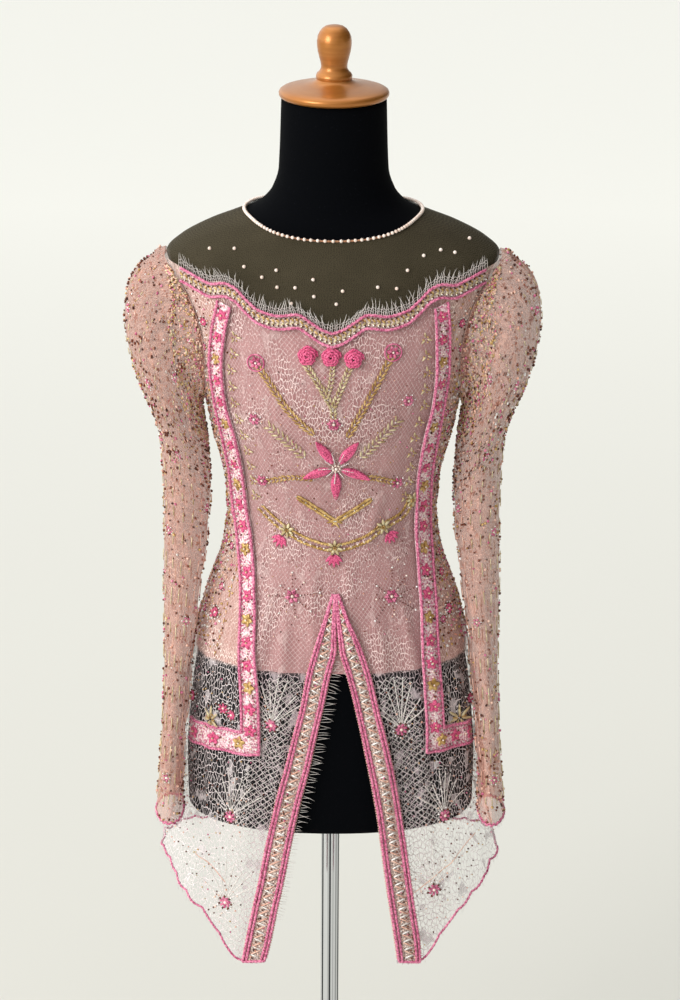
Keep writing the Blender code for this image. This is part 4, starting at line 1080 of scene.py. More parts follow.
def band_trims():
    """The five bands, each left one before its right one."""
    trims = [Trim("top_band", "sweetheart_band", top_band, 380, TOP_BAND_WIDE, TWO_CORDS, "beige",
                  bead_top_band)]
    trims += [Trim("seam_band_" + name, "panel_band_" + name, panel_band(side), 600, 18, TWO_CORDS,
                   "pink", bead_panel_band) for side, name in SIDES]
    trims += [Trim("opening_band_" + name, "slit_band_" + name, slit_band(side), 480, 29,
                   FOUR_CORDS, "beige", bead_slit_band) for side, name in SIDES]
    return trims


def make_bands(trims, braids, pink):
    """A flat braid with twisted pink cords along its edges."""
    across = np.array(BRAID_ACROSS)[None, :]
    lift = BAND_OFF + np.array(BRAID_HIGH)[None, :]
    for trim in trims:
        t = np.linspace(0, 1, int(trim.length / BRAID_STEP))[:, None]
        grid = (trim.at(t, across, lift).origin, across * trim.wide, t * trim.length, 0.0)
        mesh = cloth_mesh(trim.name, [grid])
        piece(trim.name, mesh, braids[trim.colour], (trim.node,))
        fine = np.linspace(0, 1, int(trim.length / CORD_STEP))
        lines = [(fine, share) for share in trim.cords]
        if trim.cords == FOUR_CORDS:
            # the cord turns across the lower end of a band on the opening
            lines.append((1.0, np.linspace(trim.cords[0], trim.cords[-1], 28)))
        cords = Heap()
        for line in lines:
            add_cord(cords, trim.at(*line, BAND_OFF + CORD_RADIUS), CORD_RADIUS, CORD_PITCH)
        cords.piece("cord_on_" + trim.name, pink, "pink_cord")


# ---- hem, cuffs and neck --------------------------------------------------------------------
def resampled(values, count):
    """The values of a line at count even steps."""
    return np.interp(np.linspace(0, 1, count), np.linspace(0, 1, len(values)), values)


def make_hem(pink):
    """Twisted cord along the scalloped hem, from the back to each front point."""
    cord = Heap()
    for first, last in ((-180, -HEM_CORD_FROM), (HEM_CORD_FROM, 180)):
        turn = np.linspace(first + 0.12, last - 0.12, 900)
        path = along(body_place(turn, hem_height(turn)).origin, 1.2)
        outs = body_out(resampled(turn, len(path)), path[:, 2])
        add_cord(cord, Line(path, outs), HEM_CORD, CORD_PITCH)
    cord.piece("hem_cord", pink, "pink_cord")


def make_cuffs(pink):
    """Twisted cord round the scalloped edge of each cuff."""
    angle = np.linspace(0, math.tau, 260)[:-1]
    dip = CUFF_SCALLOP * np.abs(np.sin(angle * CUFF_WAVES))
    for side, name in SIDES:
        place = sleeve_place(side, angle, LAST_RING + 0 * angle, 0.0)
        path = place.origin - np.stack((0 * dip, 0 * dip, dip - CUFF_SCALLOP), -1)
        line = Line(*(np.concatenate((part, part[:1])) for part in (path, place.out)))
        cuff = Heap()
        add_cord(cuff, line, HEM_CORD, CORD_PITCH)
        cuff.piece("cuff_cord_" + name, pink, "pink_cord")


def neck_line(turn, above):
    """Places along the yoke's neck edge."""
    return body_place(turn, neck_height(turn) - 1, above)


def make_neck(pearl, net):
    """A rolled net edge with a row of pearls, open at the back where the zip ends."""
    turn = np.linspace(-179.4, 179.4, 420)
    edge = neck_line(turn, YOKE_OFF + 1.2)
    roll = Heap()
    add_cord(roll, edge, 1.1, 9.0)
    roll.piece("neck_roll", net, "tulle")
    even = resampled(turn, len(along(edge.origin, PEARL_APART)))
    row = Heap()
    row.scatter(PEARL, neck_line(even, YOKE_OFF + 2.0), NECK_PEARL / 2)
    row.piece("neck_pearls", pearl, "pearl", ("neck_binding",))


# ---- threads, lashes ------------------------------------------------------------------------
def top_lashes(heap):
    """Threads that stand up over the sweetheart edge, tied by two fine cords."""
    x = -LASH_REACH
    while x < LASH_REACH:
        lean = 5 * math.sin(x / 17) + chance.uniform(-2.0, 2.0)
        root = front_place(x, sweetheart(x) - 1, YOKE_OFF + 2.6)
        way = root.up + root.right * (lean / 20) + root.out * 0.12
        curl = root.right * chance.uniform(-0.25, 0.25) + root.out * 0.08
        add_strand(heap, root.origin, way, curl, LASH_LONG * chance.uniform(0.62, 1.05), 0.52, 4)
        x += chance.uniform(1.7, 3.0)
    x = np.linspace(-LASH_REACH, LASH_REACH, 320)
    for k, rise in enumerate((3.0, 6.0)):
        z = sweetheart(x) + rise + 0.8 * np.sin(x * 1.1 + k)
        add_cord(heap, front_place(x, z, YOKE_OFF + 2.4), 0.4, 3.0, sides=3)


def opening_lashes(heap):
    """Threads that cross the opening from its left edge, shorter lower down."""
    z = 800.0
    while z > 470:
        half = SLIT_AT["inner"](z)
        root = front_place(SLIT_AT["middle"](z) - half + 1.0, z, LACE_OFF + 1.0)
        long_way = min(SLIT_LASH_LONG, float(2 * half)) * chance.uniform(0.7, 1.05)
        fade = 1.0 if z > 600 else 0.55
        way = root.right + root.up * chance.uniform(-0.35, 0.2)
        curl = root.up * chance.uniform(-0.25, 0.15)
        add_strand(heap, root.origin, way, curl, long_way * fade, 0.42, 3)
        z -= chance.uniform(2.6, 4.6)


def hem_lash(heap, root, spread, shortest, longest):
    """One short thread that hangs from an edge."""
    way = -root.up + root.right * chance.uniform(-spread, spread)
    add_strand(heap, root.origin, way, root.out * 0.1, chance.uniform(shortest, longest), 0.3, 2)


def hem_lashes(heap):
    """Short threads along the hem and round both cuffs."""
    turn = -179.0
    while turn < 179:
        step = chance.uniform(0.9, 2.0)
        if abs(turn) > 27:
            hem_lash(heap, body_place(turn, hem_height(turn) + 0.5, LACE_OFF + 0.5), 0.4, 5, 11)
        turn += step
    for side in (-1, 1):
        for k in range(CUFF_LASHES):
            angle = math.tau * k / CUFF_LASHES + chance.uniform(-0.03, 0.03)
            hem_lash(heap, sleeve_place(side, angle, float(LAST_RING), 0.2), 0.3, 4, 8)


def make_lashes(thread):
    """The lace's loose threads, in three pieces."""
    for name, lashes, nodes in (("over_top_band", top_lashes, ("lash_strip_top",)),
                                ("on_opening", opening_lashes, ("lash_strip_slit",)),
                                ("on_hems", hem_lashes, ())):
        heap = Heap()
        lashes(heap)
        heap.piece("lashes_" + name, thread, "lash_thread", nodes)


# ---- embroidery -----------------------------------------------------------------------------
# leaves, petals, bugles and beads are gathered by material and become pieces at the end
HEAPS = {name: Heap() for name in ("hot_pink", "rose", "gold", "straw", "copper", "blush",
                                   "crystal", "pearls", "threads")}


def on_front(points, off):
    """Places on the front at points of (x, z)."""
    points = np.asarray(points, float).reshape(-1, 2)
    return front_place(points[:, 0], points[:, 1], off)


def circle(x, z, reach, turn):
    """Points of (x, z) at this reach from a point, one for each turn."""
    return np.stack((x + reach * np.cos(turn), z + reach * np.sin(turn)), -1)


def way_of(turn):
    """The (x, z) direction in which a leaf with this turn points."""
    return np.array((-math.sin(turn), math.cos(turn)))


def heading(line):
    """The turns of leaves that point along a line of (x, z), and the directions to its left."""
    x, z = unit(np.gradient(line, axis=0)).T
    return np.arctan2(-x, z), np.stack((-z, x), -1)


def bead_row(heap, points, step, size, off=LACE_OFF):
    """Beads strung along a line of (x, z)."""
    HEAPS[heap].scatter(SEED, on_front(along(points, step), off), size, lift=size * 0.6)


def leaf_chain(heap, points, long, wide, step, splay):
    """Pairs of bullion leaves along a stem, as in a herringbone."""
    at = along(smooth_path(points), step)
    turn, left = heading(at)
    for way in (-1, 1):
        size = [(wide, long * chance.uniform(0.85, 1.1), 1.5) for _ in at]
        HEAPS[heap].scatter(LEAF, on_front(at + left * way * 0.5, LACE_OFF), size,
                            turn + way * splay, lift=0.3)
    bead_row("crystal", at, step * 3, 0.9, LACE_OFF + 1.0)


def flower(x, z, petals, long, wide, heap="hot_pink", first=0.0, high=2.0, off=LACE_OFF, gap=1.2):
    """A ring of domed petals round a point."""
    turn = first + np.arange(petals) * math.tau / petals
    at = np.stack((x - gap * np.sin(turn), z + gap * np.cos(turn)), -1)
    HEAPS[heap].scatter(LEAF, on_front(at, off), [(wide, long, high)], turn, lift=0.4)


def ring_of(heap, x, z, radius, count, size, off=LACE_OFF, first=0.0):
    """Beads in a ring round a point of the centre front."""
    at = circle(x, z, radius, first + np.arange(count) * math.tau / count)
    HEAPS[heap].scatter(SEED, on_front(at, off), size, lift=size * 0.6)


def bead_flower(x, z, size):
    """A small flower of beads: a pearl, petals, a ring of rose beads and one of crystals."""
    ring_of("pearls", x, z, 0.0, 1, 1.7 * size)
    flower(x, z, 6, 5.4 * size, 3.2 * size, "rose", chance.uniform(0, 1), 1.6, gap=1.5 * size)
    ring_of("rose", x, z, 4.2 * size, 6, 1.2 * size, LACE_OFF + 1.2, 0.5)
    ring_of("crystal", x, z, 7.4 * size, 7, size, first=chance.uniform(0, 1))


def rose(x, z, radius):
    """A rose of rolled ribbon: a cord that coils inwards and rises."""
    turn = np.linspace(0, 3.4 * math.tau, 110)
    share = turn / turn[-1]
    reach = mix(radius, 1.2, share) + 0.7 * np.sin(5 * turn) * (1 - share)
    place = on_front(circle(x, z, reach, turn), LACE_OFF)
    high = (1.2 + 4.6 * np.sin(0.5 * math.pi * np.minimum(share * 1.25, 1.0)))[:, None]
    add_cord(HEAPS["hot_pink"], place._replace(origin=place.origin + place.out * high), 1.9, 4.2)
    flower(x, z, 8, radius * 0.95, radius * 0.8, "hot_pink", 0.2, 2.6, gap=1.0)
    ring_of("copper", x, z, radius * 0.55, 5, 0.9, LACE_OFF + 5.0, 0.3)


def large_flower():
    """Five long ribbed petals, white rays and a cluster of pearls."""
    middle = np.array((5.0, 1037.0))
    for turn, long in ((0.58, 37), (-0.62, 37), (1.95, 35), (-1.98, 37), (3.14, 42)):
        root = middle + 6.0 * way_of(turn)
        HEAPS["hot_pink"].scatter(LEAF_RIBBED, on_front(root, LACE_OFF), [(13.5, long, 3.2)], turn,
                                  lift=0.4)
        vein = root + np.outer(np.linspace(0.15, 0.85, 9) * long, way_of(turn))
        HEAPS["rose"].scatter(SEED, on_front(vein, LACE_OFF + 2.4), 0.8)
    for k in range(9):
        way = way_of(k * math.tau / 9 + 0.25)
        bead_row("crystal", [middle + way * 5, middle + way * (15 if k % 2 else 20)], 2.0, 0.85,
                 LACE_OFF + 1.8)
    ring_of("pearls", *middle, 4.0, 7, 1.5, LACE_OFF + 1.6)
    ring_of("pearls", *middle, 0.0, 1, 2.2, LACE_OFF + 2.0)


# places of the embroidery on the centre front, as (x, z)
ROSES = [(-28, 1170), (-1.5, 1169), (24, 1167)]
ROUND_MOTIFS = [(-86.5, 1159), (68.6, 1173)]
CHAINS = [                       # heap, points, then leaf length, width, step and splay
    # up to the round motifs, then the forked stem under the roses
    ("gold", [(-20, 1079), (-48, 1106), (-80, 1150)], 10.0, 2.6, 6.0, 0.42),
    ("gold", [(17, 1076), (36, 1112), (63, 1162)], 10.0, 2.6, 6.0, 0.42),
    ("straw", [(2, 1096), (0, 1112), (-11, 1132), (-27, 1156)], 7.5, 2.6, 4.6, 0.5),
    ("straw", [(1, 1112), (9, 1132), (19, 1156)], 7.5, 2.6, 4.6, 0.5),
    ("straw", [(-8, 1122), (-2, 1138), (0, 1156)], 6.0, 2.4, 4.6, 0.5),
    # out to both sides of the large flower, above and below its side petals
    ("straw", [(-31, 1050), (-50, 1068), (-70, 1084)], 10.0, 2.6, 6.5, 0.75),
    ("straw", [(33, 1050), (52, 1070), (72, 1092)], 10.0, 2.6, 6.5, 0.75),
    ("gold", [(-21, 1022), (-48, 1021), (-70, 1014)], 7.0, 2.4, 4.8, 0.5),
    ("gold", [(31, 1022), (48, 1021), (68, 1014)], 7.0, 2.4, 4.8, 0.5),
    # long leaves that meet in a V
    ("gold", [(-41, 997), (-18, 982), (3, 967)], 10.5, 2.8, 4.4, 0.3),
    ("gold", [(47, 994), (26, 980), (5, 967)], 10.5, 2.8, 4.4, 0.3),
]
GARLAND = [
    (-84, 976), (-68, 962), (-52, 951), (-28, 939), (4, 932), (36, 940), (60, 955), (82, 966),
    (93, 983),
]
GARLAND_FLOWERS = [(-52, 953), (4, 934), (60, 957), (93, 985)]
FANS = [(-57, 945, -0.45), (3, 926, 0.0), (66, 949, 0.5)]       # with their leans
BEAD_FLOWERS = [                 # with their sizes
    (-88, 1092, 1.1), (86, 1116, 1.0), (2, 1093, 1.25), (-80, 1012, 1.1), (75, 1011, 1.1),
    (-45, 875, 1.3), (70, 873, 1.3),
]


def garland():
    """Two rows of leaves with beads between, rising beside the long bands; fans hang under it."""
    line = smooth_path(GARLAND)
    left = heading(line)[1]
    for way, lean in ((-1, 0.5), (1, -0.5)):
        row = along(line + left * way * 3.4, 4.0)
        HEAPS["gold"].scatter(LEAF, on_front(row, LACE_OFF), [(3.0, 7.6, 1.6)],
                              heading(row)[0] - lean * way)
    bead_row("pearls", line, 8.0, 1.3, LACE_OFF + 1.0)
    for x, z in GARLAND_FLOWERS:
        flower(x, z, 7, 9.0, 4.0, "straw", chance.uniform(0, 1), 2.2, LACE_OFF + 1.2)
        ring_of("gold", x, z, 1.6, 5, 1.1, LACE_OFF + 3.0)
    for x, z, lean in FANS:
        for spread in (-1.0, -0.5, 0.0, 0.5, 1.0):
            size = [(5.2, 17.0 - 3 * abs(spread), 2.6)]
            HEAPS["hot_pink"].scatter(LEAF, on_front((x, z), LACE_OFF), size,
                                      math.pi + lean + spread * 0.85, lift=0.4)


def round_motif(x, z):
    """A corded rim round petals, beads and a pearl."""
    rim = circle(x, z, 9.4, np.linspace(0, math.tau, 40))
    add_cord(HEAPS["rose"], on_front(rim, LACE_OFF + 0.8), 1.0, 3.0)
    flower(x, z, 6, 7.0, 4.6, "rose", 0.3)
    ring_of("hot_pink", x, z, 4.6, 6, 1.3, LACE_OFF + 1.4)
    ring_of("pearls", x, z, 0.0, 1, 1.6, LACE_OFF + 1.6)


def make_centre_work():
    """Roses, a five-petalled flower, sprays of gold leaves and a garland on the centre front."""
    for x, z in ROSES:
        rose(x, z, 10.5)
    large_flower()
    for chain in CHAINS:
        leaf_chain(*chain)
    garland()
    for x, z in ROUND_MOTIFS:
        round_motif(x, z)
    for x, z, size in BEAD_FLOWERS:
        bead_flower(x, z, size)
    # sprigs of straw leaves beside the long bands
    for side in (-1, 1):
        for z in np.arange(990, 1200, 19.5):
            x = BAND_AT["middle"](z) + side * (BAND_AT["inner"](z) - 7.5 - chance.uniform(0, 3))
            flower(x, z, 3, 7.0, 2.6, "straw", side * 0.9 - 0.7, 1.4)
            ring_of("gold", x, z - 1, 3.4, 3, 1.1, LACE_OFF, side)
    # short stems with beads round the two lowest flowers
    for x, z, size in BEAD_FLOWERS[-2:]:
        for turn in (0.0, 0.9, 1.65, 2.5, 3.3, 4.1, 4.9, 5.6):
            root, way = np.array((x, z)), way_of(turn)
            tip = root + way * chance.uniform(17, 34)
            bead_row("copper", [root + way * 11, tip], 3.8, 0.9)
            ring_of("pearls" if turn % 2 > 1 else "crystal", *tip, 0.0, 1, 1.5)


# ---- beads on the bands ---------------------------------------------------------------------
def add_rods(heap, starts, ends, outs, wide):
    """Bugle beads from starts to ends."""
    way = ends - starts
    long = np.linalg.norm(way, axis=-1)
    up = unit(way)
    right = unit(np.cross(up, outs))
    size = np.stack((np.full(len(long), wide), long * 0.9, np.full(len(long), wide)), -1)
    place = Place((starts + ends) / 2, right, up, np.cross(right, up))
    HEAPS[heap].scatter(BUGLE, place, size)


def string_rods(heap, line, wide, first=0):
    """Bugle beads on every other stretch of a line of places."""
    add_rods(heap, line.origin[first:-1:2], line.origin[first + 1::2], line.out[first:-1:2], wide)


def on_band(trim, heap, t, across, size, shape=SEED, turn=0.0, off=BAND_OFF + 1.0):
    """Copies of a shape on a band; beads, whose size is one number, rest on its surface."""
    t, across = np.broadcast_arrays(np.atleast_1d(np.asarray(t, float)), across)
    HEAPS[heap].scatter(shape, trim.at(t, across, off), size, turn,
                        lift=0.5 * size if np.ndim(size) == 0 else 0.0)


def band_flower(trim, t, heap, wide):
    """A five-petalled flower across a band, with beads at its middle."""
    for k in range(5):
        turn = k * math.tau / 5 + 0.3 + t
        on_band(trim, heap, t, 0.5, [(wide * 0.42, wide * 0.55, 2.0)], LEAF, turn)
    on_band(trim, "pearls" if heap == "gold" else "straw", t, 0.5, 1.3, off=BAND_OFF + 2.8)


def speckle(trim, low, high, apart):
    """Odd beads strewn along a band, one every so many millimetres."""
    for t in np.linspace(0.004, 0.996, int(trim.length / apart)):
        on_band(trim, chance.choice(("copper", "crystal", "rose", "copper", "blush")),
                t, chance.uniform(low, high), chance.uniform(0.9, 1.5))


def bead_slit_band(trim):
    """Bugles in a zigzag, with a pearl in every notch."""
    count = int(trim.length / 5.6)
    t = np.linspace(0.015, 0.99, count + 1)
    odd = np.arange(count + 1) % 2
    corners = trim.at(t, np.where(odd, 0.31, 0.69), BAND_OFF + 1.9)
    for first, heap in enumerate(("crystal", "blush")):
        string_rods(heap, corners, 1.9, first)
    notch = np.where(odd, 0.6, 0.4)
    on_band(trim, "pearls", t[::2], notch[::2], 1.3)
    on_band(trim, "copper", t[1::2], notch[1::2], 1.3)
    speckle(trim, 0.2, 0.8, 4.4)
    on_band(trim, "blush", t + 0.5 / count, 0.3 + 0.4 * odd, 0.9)
    fine = np.linspace(0.01, 0.99, int(trim.length / 3.4))
    for across in (-0.02, 1.02):
        on_band(trim, "blush", fine, across, 1.0, off=BAND_OFF)


def bead_panel_band(trim):
    """Pink flowers 26 mm apart, every third one gold, and pearls between them."""
    count = int(trim.length / 26)
    for k, t in enumerate((np.arange(count) + 0.5) / count):
        wide = 13.5 if t < 0.35 else 16.0
        band_flower(trim, t, "gold" if k % 3 == 2 else "hot_pink", wide)
        between = t + 0.5 / count
        pair = [between - 0.006, between + 0.006]
        on_band(trim, "pearls", pair, 0.5, 1.5)
        on_band(trim, "rose", [*pair, between, between], [0.28, 0.72, 0.26, 0.74], 1.1)
    speckle(trim, 0.15, 0.85, 2.6)
    fine = np.linspace(0.005, 0.995, int(trim.length / 3.0))
    for across in (0.17, 0.83):
        on_band(trim, "crystal", fine[::2], across, 0.85)
        on_band(trim, "rose", fine[1::2], across, 0.95)


def bead_top_band(trim):
    """Small straw leaves in pairs, with crystals and copper beads, between the two cords."""
    t = np.linspace(0.01, 0.99, int(trim.length / 6.0))
    for way, heap in ((-1, "gold"), (1, "straw")):
        on_band(trim, heap, t, 0.5, [(2.6, 6.2, 1.6)], LEAF, math.pi / 2 + way * 0.75)
    third = t[::3]
    on_band(trim, "pearls", third + 0.006, 0.5 + 0.2 * np.cos(np.arange(len(third)) * math.pi), 1.2)
    on_band(trim, "crystal", t + 0.009, 0.28, 1.3)
    for shift, across in ((0.004, 0.74), (0.011, 0.3)):
        on_band(trim, "copper", t + shift, across, 1.4)
    on_band(trim, "blush", t + 0.012, 0.7, 0.9)


# ---- beads spread over the lace -------------------------------------------------------------
# kinds of beads, each with its share of all of them
MIXED = (("copper", 0.42), ("blush", 0.24), ("crystal", 0.13), ("gold", 0.14), ("rose", 0.07))
PALE = (("blush", 0.4), ("straw", 0.26), ("gold", 0.12), ("copper", 0.1), ("rose", 0.12))
DARK = (("copper", 0.55), ("blush", 0.2), ("crystal", 0.04), ("gold", 0.1), ("rose", 0.11))
RICH = (("copper", 0.22), ("blush", 0.28), ("crystal", 0.18), ("gold", 0.2), ("rose", 0.12))
ROD_KINDS = ("gold", "blush", "straw", "blush")


def some_of(places, which):
    """The places that a slice or a mask takes."""
    return Place(*(part[which] for part in places))


def spread_beads(places, low=1.0, high=1.75, kinds=MIXED):
    """Shares places out among kinds of beads, unevenly."""
    count = len(places.origin)
    picks = np.array([chance.random() for _ in range(count)])
    sizes = np.array([chance.uniform(low, high) for _ in range(count)])
    start = 0.0
    for heap, share in kinds:
        mine = (picks >= start) & (picks < start + share)
        start += share
        if mine.any():
            HEAPS[heap].scatter(SEED, some_of(places, mine), sizes[mine], lift=0.5)


def jittered(first, last, low, high, step_across, step_down):
    """Uneven rows of (across, height) pairs."""
    spots = []
    z = low
    row = 0
    while z < high:
        across = first + (row % 2) * step_across / 2
        while across < last:
            spots.append((across + chance.uniform(-0.4, 0.4) * step_across,
                          z + chance.uniform(-0.4, 0.4) * step_down))
            across += step_across
        z += step_down
        row += 1
    return np.array(spots)


def strew(side, spots, *how):
    """Beads on one side of the body, at (turn, height) pairs."""
    spread_beads(body_place(side * spots[:, 0], spots[:, 1]), *how)


def round_place(base, turn, reach):
    """Places in a ring round one place, one at each turn."""
    ring = base.right * np.cos(turn)[:, None] + base.up * np.sin(turn)[:, None]
    spots = base.origin + ring * reach
    return Place(spots, *(np.broadcast_to(way, spots.shape) for way in base[1:]))


def body_flower(turn, z, size, heap="rose"):
    """A beaded flower anywhere round the body."""
    base = body_place(turn, z)
    for count, reach, heap_now, bead in ((1, 0.0, "pearls", 1.6), (7, 4.2, heap, 1.5),
                                         (9, 7.4, "crystal", 1.1), (7, 6.0, "copper", 1.2)):
        angle = np.arange(count) * math.tau / count + chance.uniform(0, 1)
        HEAPS[heap_now].scatter(PEARL if heap_now == "pearls" else SEED,
                                round_place(base, angle, reach * size), bead * size, lift=0.7)
    angle = np.arange(6) * math.tau / 6
    HEAPS[heap].scatter(LEAF, round_place(base, angle, 0.0), [(2.4 * size, 5.0 * size, 1.7)], angle,
                        lift=0.3)


def rod_strings(side):
    """Strings of bugles down a side panel and a back, with beads between them."""
    for k, turn in enumerate(np.arange(55, 178, 6.5)):
        top = 1150 - 10 * abs(math.sin(k * 1.7)) if turn < 112 else 1205
        z = np.arange(812 - 22 * math.cos(k * 2.3), top, 5.0)
        sway = side * (turn + 1.3 * np.sin(z / 23 + k))
        string_rods(ROD_KINDS[k % 4], body_place(sway, z, LACE_OFF + 0.8), 1.3)
        between = some_of(body_place(sway + side * 0.6, z + 2.5), slice(1, None, 2))
        HEAPS["copper" if k % 2 else "crystal"].scatter(SEED, between, 0.9, lift=0.5)


def make_side_work():
    """Bugles, beads and flowers on the side panels, the backs and the upper chest."""
    for side in (-1, 1):
        rod_strings(side)
        strew(side, jittered(53, 176, 800, 1160, 3.4, 8.0), 1.2, 2.1, RICH)
        for turn, z in jittered(60, 172, 825, 1150, 17, 46):
            body_flower(side * turn, z, chance.uniform(0.75, 1.0),
                        "hot_pink" if chance.random() < 0.5 else "rose")
        # the upper chest beside the long bands, and the upper back
        strew(side, jittered(46, 66, 1165, 1236, 4.0, 8.0))
        strew(side, jittered(118, 177, 1160, 1222, 3.6, 8.0))
        # a fan of leaves and pink flowers in the corner of each long band's foot
        corner = -140 if side < 0 else 150
        flower(corner, 712, 7, 17.0, 4.0, "straw", 0.0, 1.9)
        flower(corner, 711, 5, 9.0, 2.4, "gold", 0.0, 1.6)
        body_flower(side * 57, 1196, 0.9, "hot_pink")
        body_flower(side * 63, 1165, 0.8)
    # loose beads over the centre front, few and small
    spots = jittered(-94, 94, 830, 1150, 13, 15)
    x, z = spots.T
    between_bands = np.abs(x - BAND_AT["middle"](z)) < BAND_AT["inner"](z) - 6
    beside_opening = np.abs(x - SLIT_AT["middle"](z)) > SLIT_AT["outer"](z) + 5
    keep = between_bands & (beside_opening | (z > 885))
    spread_beads(on_front(spots[keep], LACE_OFF), 0.7, 1.1)


LOWER_FLOWERS = [(-21, 719), (26, 713), (-38, 595), (45, 595), (-35, 486), (35.5, 504)]
BACK_FLOWERS = [(78, 610), (96, 700), (122, 590), (120, 745), (152, 690), (160, 575)]
PINK_FLOWERS = [(-71, 728), (-45, 730), (-40, 724), (47, 744), (72, 726), (-62, 838), (66, 842)]


def rising_stems(turn, z):
    """Stems that fan out above a flower, each with a bead over its tip, and loose beads."""
    run = np.linspace(0.14, 1, 14)
    for lean in (-1.25, -0.85, -0.5, -0.18, 0.18, 0.5, 0.85, 1.25):
        rise = chance.uniform(46, 66) * (1 - 0.25 * abs(lean)) * math.cos(lean * 0.6)
        stem = body_place(turn + lean * run ** 1.2 * 11, z + rise * run, LACE_OFF + 0.5)
        add_cord(HEAPS["threads"], stem, 0.62, 3.0, 4)
        tip = body_place([turn + lean * 11.5], [z + rise + 3])
        HEAPS["crystal" if abs(lean) < 0.6 else "copper"].scatter(SEED, tip, 1.1, lift=0.5)
    for k in range(9):
        angle, reach = chance.uniform(0, math.tau), chance.uniform(11, 24)
        spot = body_place([turn + math.cos(angle) * reach / TURN_MM], [z + math.sin(angle) * reach])
        heap = HEAPS[("copper", "pearls", "blush")[k % 3]]
        heap.scatter(SEED, spot, chance.uniform(0.9, 1.6), lift=0.5)


def make_skirt_work():
    """Flowers with rising stems, curved stems and beads over the open lower lace."""
    behind = [(side * turn, z) for side in (-1, 1) for turn, z in BACK_FLOWERS]
    for turn, z in LOWER_FLOWERS + behind:
        body_flower(turn, z, 1.35)
        rising_stems(turn, z)
    # stems that curve towards the front points
    for points in ([(-52, 539), (-44, 530), (-36, 512)], [(62, 559), (48, 539), (38, 524), (26, 501)]):
        turn, z = smooth_path(points, 10).T
        add_cord(HEAPS["blush"], body_place(turn, z, LACE_OFF + 0.6), 0.6, 3.0, 4)
    for turn, z in PINK_FLOWERS:
        body_flower(turn, z, 1.1, "hot_pink")
    # beads over the whole skirt, closer in front
    for side in (-1, 1):
        spots = jittered(10, 178, 540, 780, 4.4, 16)
        turn, z = spots.T
        opening = np.degrees(np.arcsin(np.minimum(1, (SLIT_AT["outer"](z) + 10) / 180)))
        strew(side, spots[(turn > opening) & (z > hem_height(turn) + 8)], 0.8, 1.3)
        spots = jittered(27, 60, 440, 540, 4.0, 14)
        turn, z = spots.T
        opening = np.abs(turn_at(SLIT_AT["outer"](z) + 8, z))
        strew(side, spots[(turn > opening) & (z > hem_height(turn) + 8)], 0.8, 1.3)


def make_raised_net():
    """A lattice of fine diagonal threads on the lace beside the opening's bands."""
    run = np.linspace(0, 1, 12)
    for side in (-1, 1):
        for way in (-1, 1):
            for start in np.arange(425, 900, 8.0):
                z = start + way * 38 * run - (19 * way)
                x = SLIT_AT["middle"](z) * side + SLIT_AT["outer"](z) + 4 + 40 * run
                keep = (z > hem_height(turn_at(x, z)) + 6) & (z < 780)
                if keep.sum() > 3:
                    line = front_place(side * x[keep], z[keep], LACE_OFF + 0.4)
                    add_cord(HEAPS["threads"], line, 0.36, 3.0, 3)


# ---- beads on the sleeves and the yoke ------------------------------------------------------
# how far down the close work in front reaches: angles round the head, and the place at each
CLOSE_WORK = ((0.5, 1.05, 1.48, 1.83, 2.1, 2.5, 3.1), (-0.8, -0.4, 0.4, 1.0, 2.5, 3.2, 3.6))
SLEEVE_FLOWERS = [
    (0.5, 2.2), (1.2, 3.6), (1.8, 1.4), (0.2, 5.2), (1.5, 6.3), (0.9, 8.6), (1.9, 9.8),
    (0.4, 10.9), (1.3, 12.0), (5.6, 3.0), (5.0, 5.6), (5.8, 8.8), (4.6, 10.4), (5.3, 12.1),
    (2.6, 8.0), (3.6, 10.0),
]


def sleeve_beads(side):
    """Beads strewn all over a sleeve."""
    places, angles = [], []
    place = -0.75
    while place < LAST_RING - 0.05:
        step = 0.1 if place < 8 else 0.08
        for _ in range(26 if place < 7 else 17):
            angles.append(chance.uniform(0, math.tau))
            places.append(place + chance.uniform(0, step * 2))
        place += step * 2
    where = sleeve_place(side, np.array(angles), np.minimum(places, LAST_RING), 0.2)
    spread_beads(where, 0.9, 2.0, DARK)


def close_places(side, count):
    """Uneven places on the front of the head, beside the armhole."""
    angle = np.array([chance.uniform(0.5, 3.1) for _ in range(count)])
    place = np.array([chance.uniform(-0.97, last) for last in np.interp(angle, *CLOSE_WORK)])
    return sleeve_place(side, angle, place, 0.7)


def sleeve_close_work(side):
    """In front, beside the armhole, the head is worked as closely as the side panels."""
    spread_beads(close_places(side, 620), 1.0, 1.8, PALE)
    where = close_places(side, 200)
    ends = where.origin + np.array([(0, 0, -chance.uniform(3.5, 6.0)) for _ in where.origin])
    for k, heap in enumerate(ROD_KINDS):
        add_rods(heap, where.origin[k::4], ends[k::4], where.out[k::4], 1.4)


def sleeve_rods(side):
    """Bugles in long rows down the sleeve's pleats."""
    for angle in np.arange(0.2, math.tau, 0.42):
        at = np.arange(1.0, LAST_RING - 0.3, 0.21)
        at = at + 0.03 * np.sin(at * 7 + angle * 9)
        line = sleeve_place(side, angle + 0.06 * np.sin(at * 1.7), at, 0.8)
        string_rods("blush" if int(angle * 10) % 2 else "straw", line, 1.1)


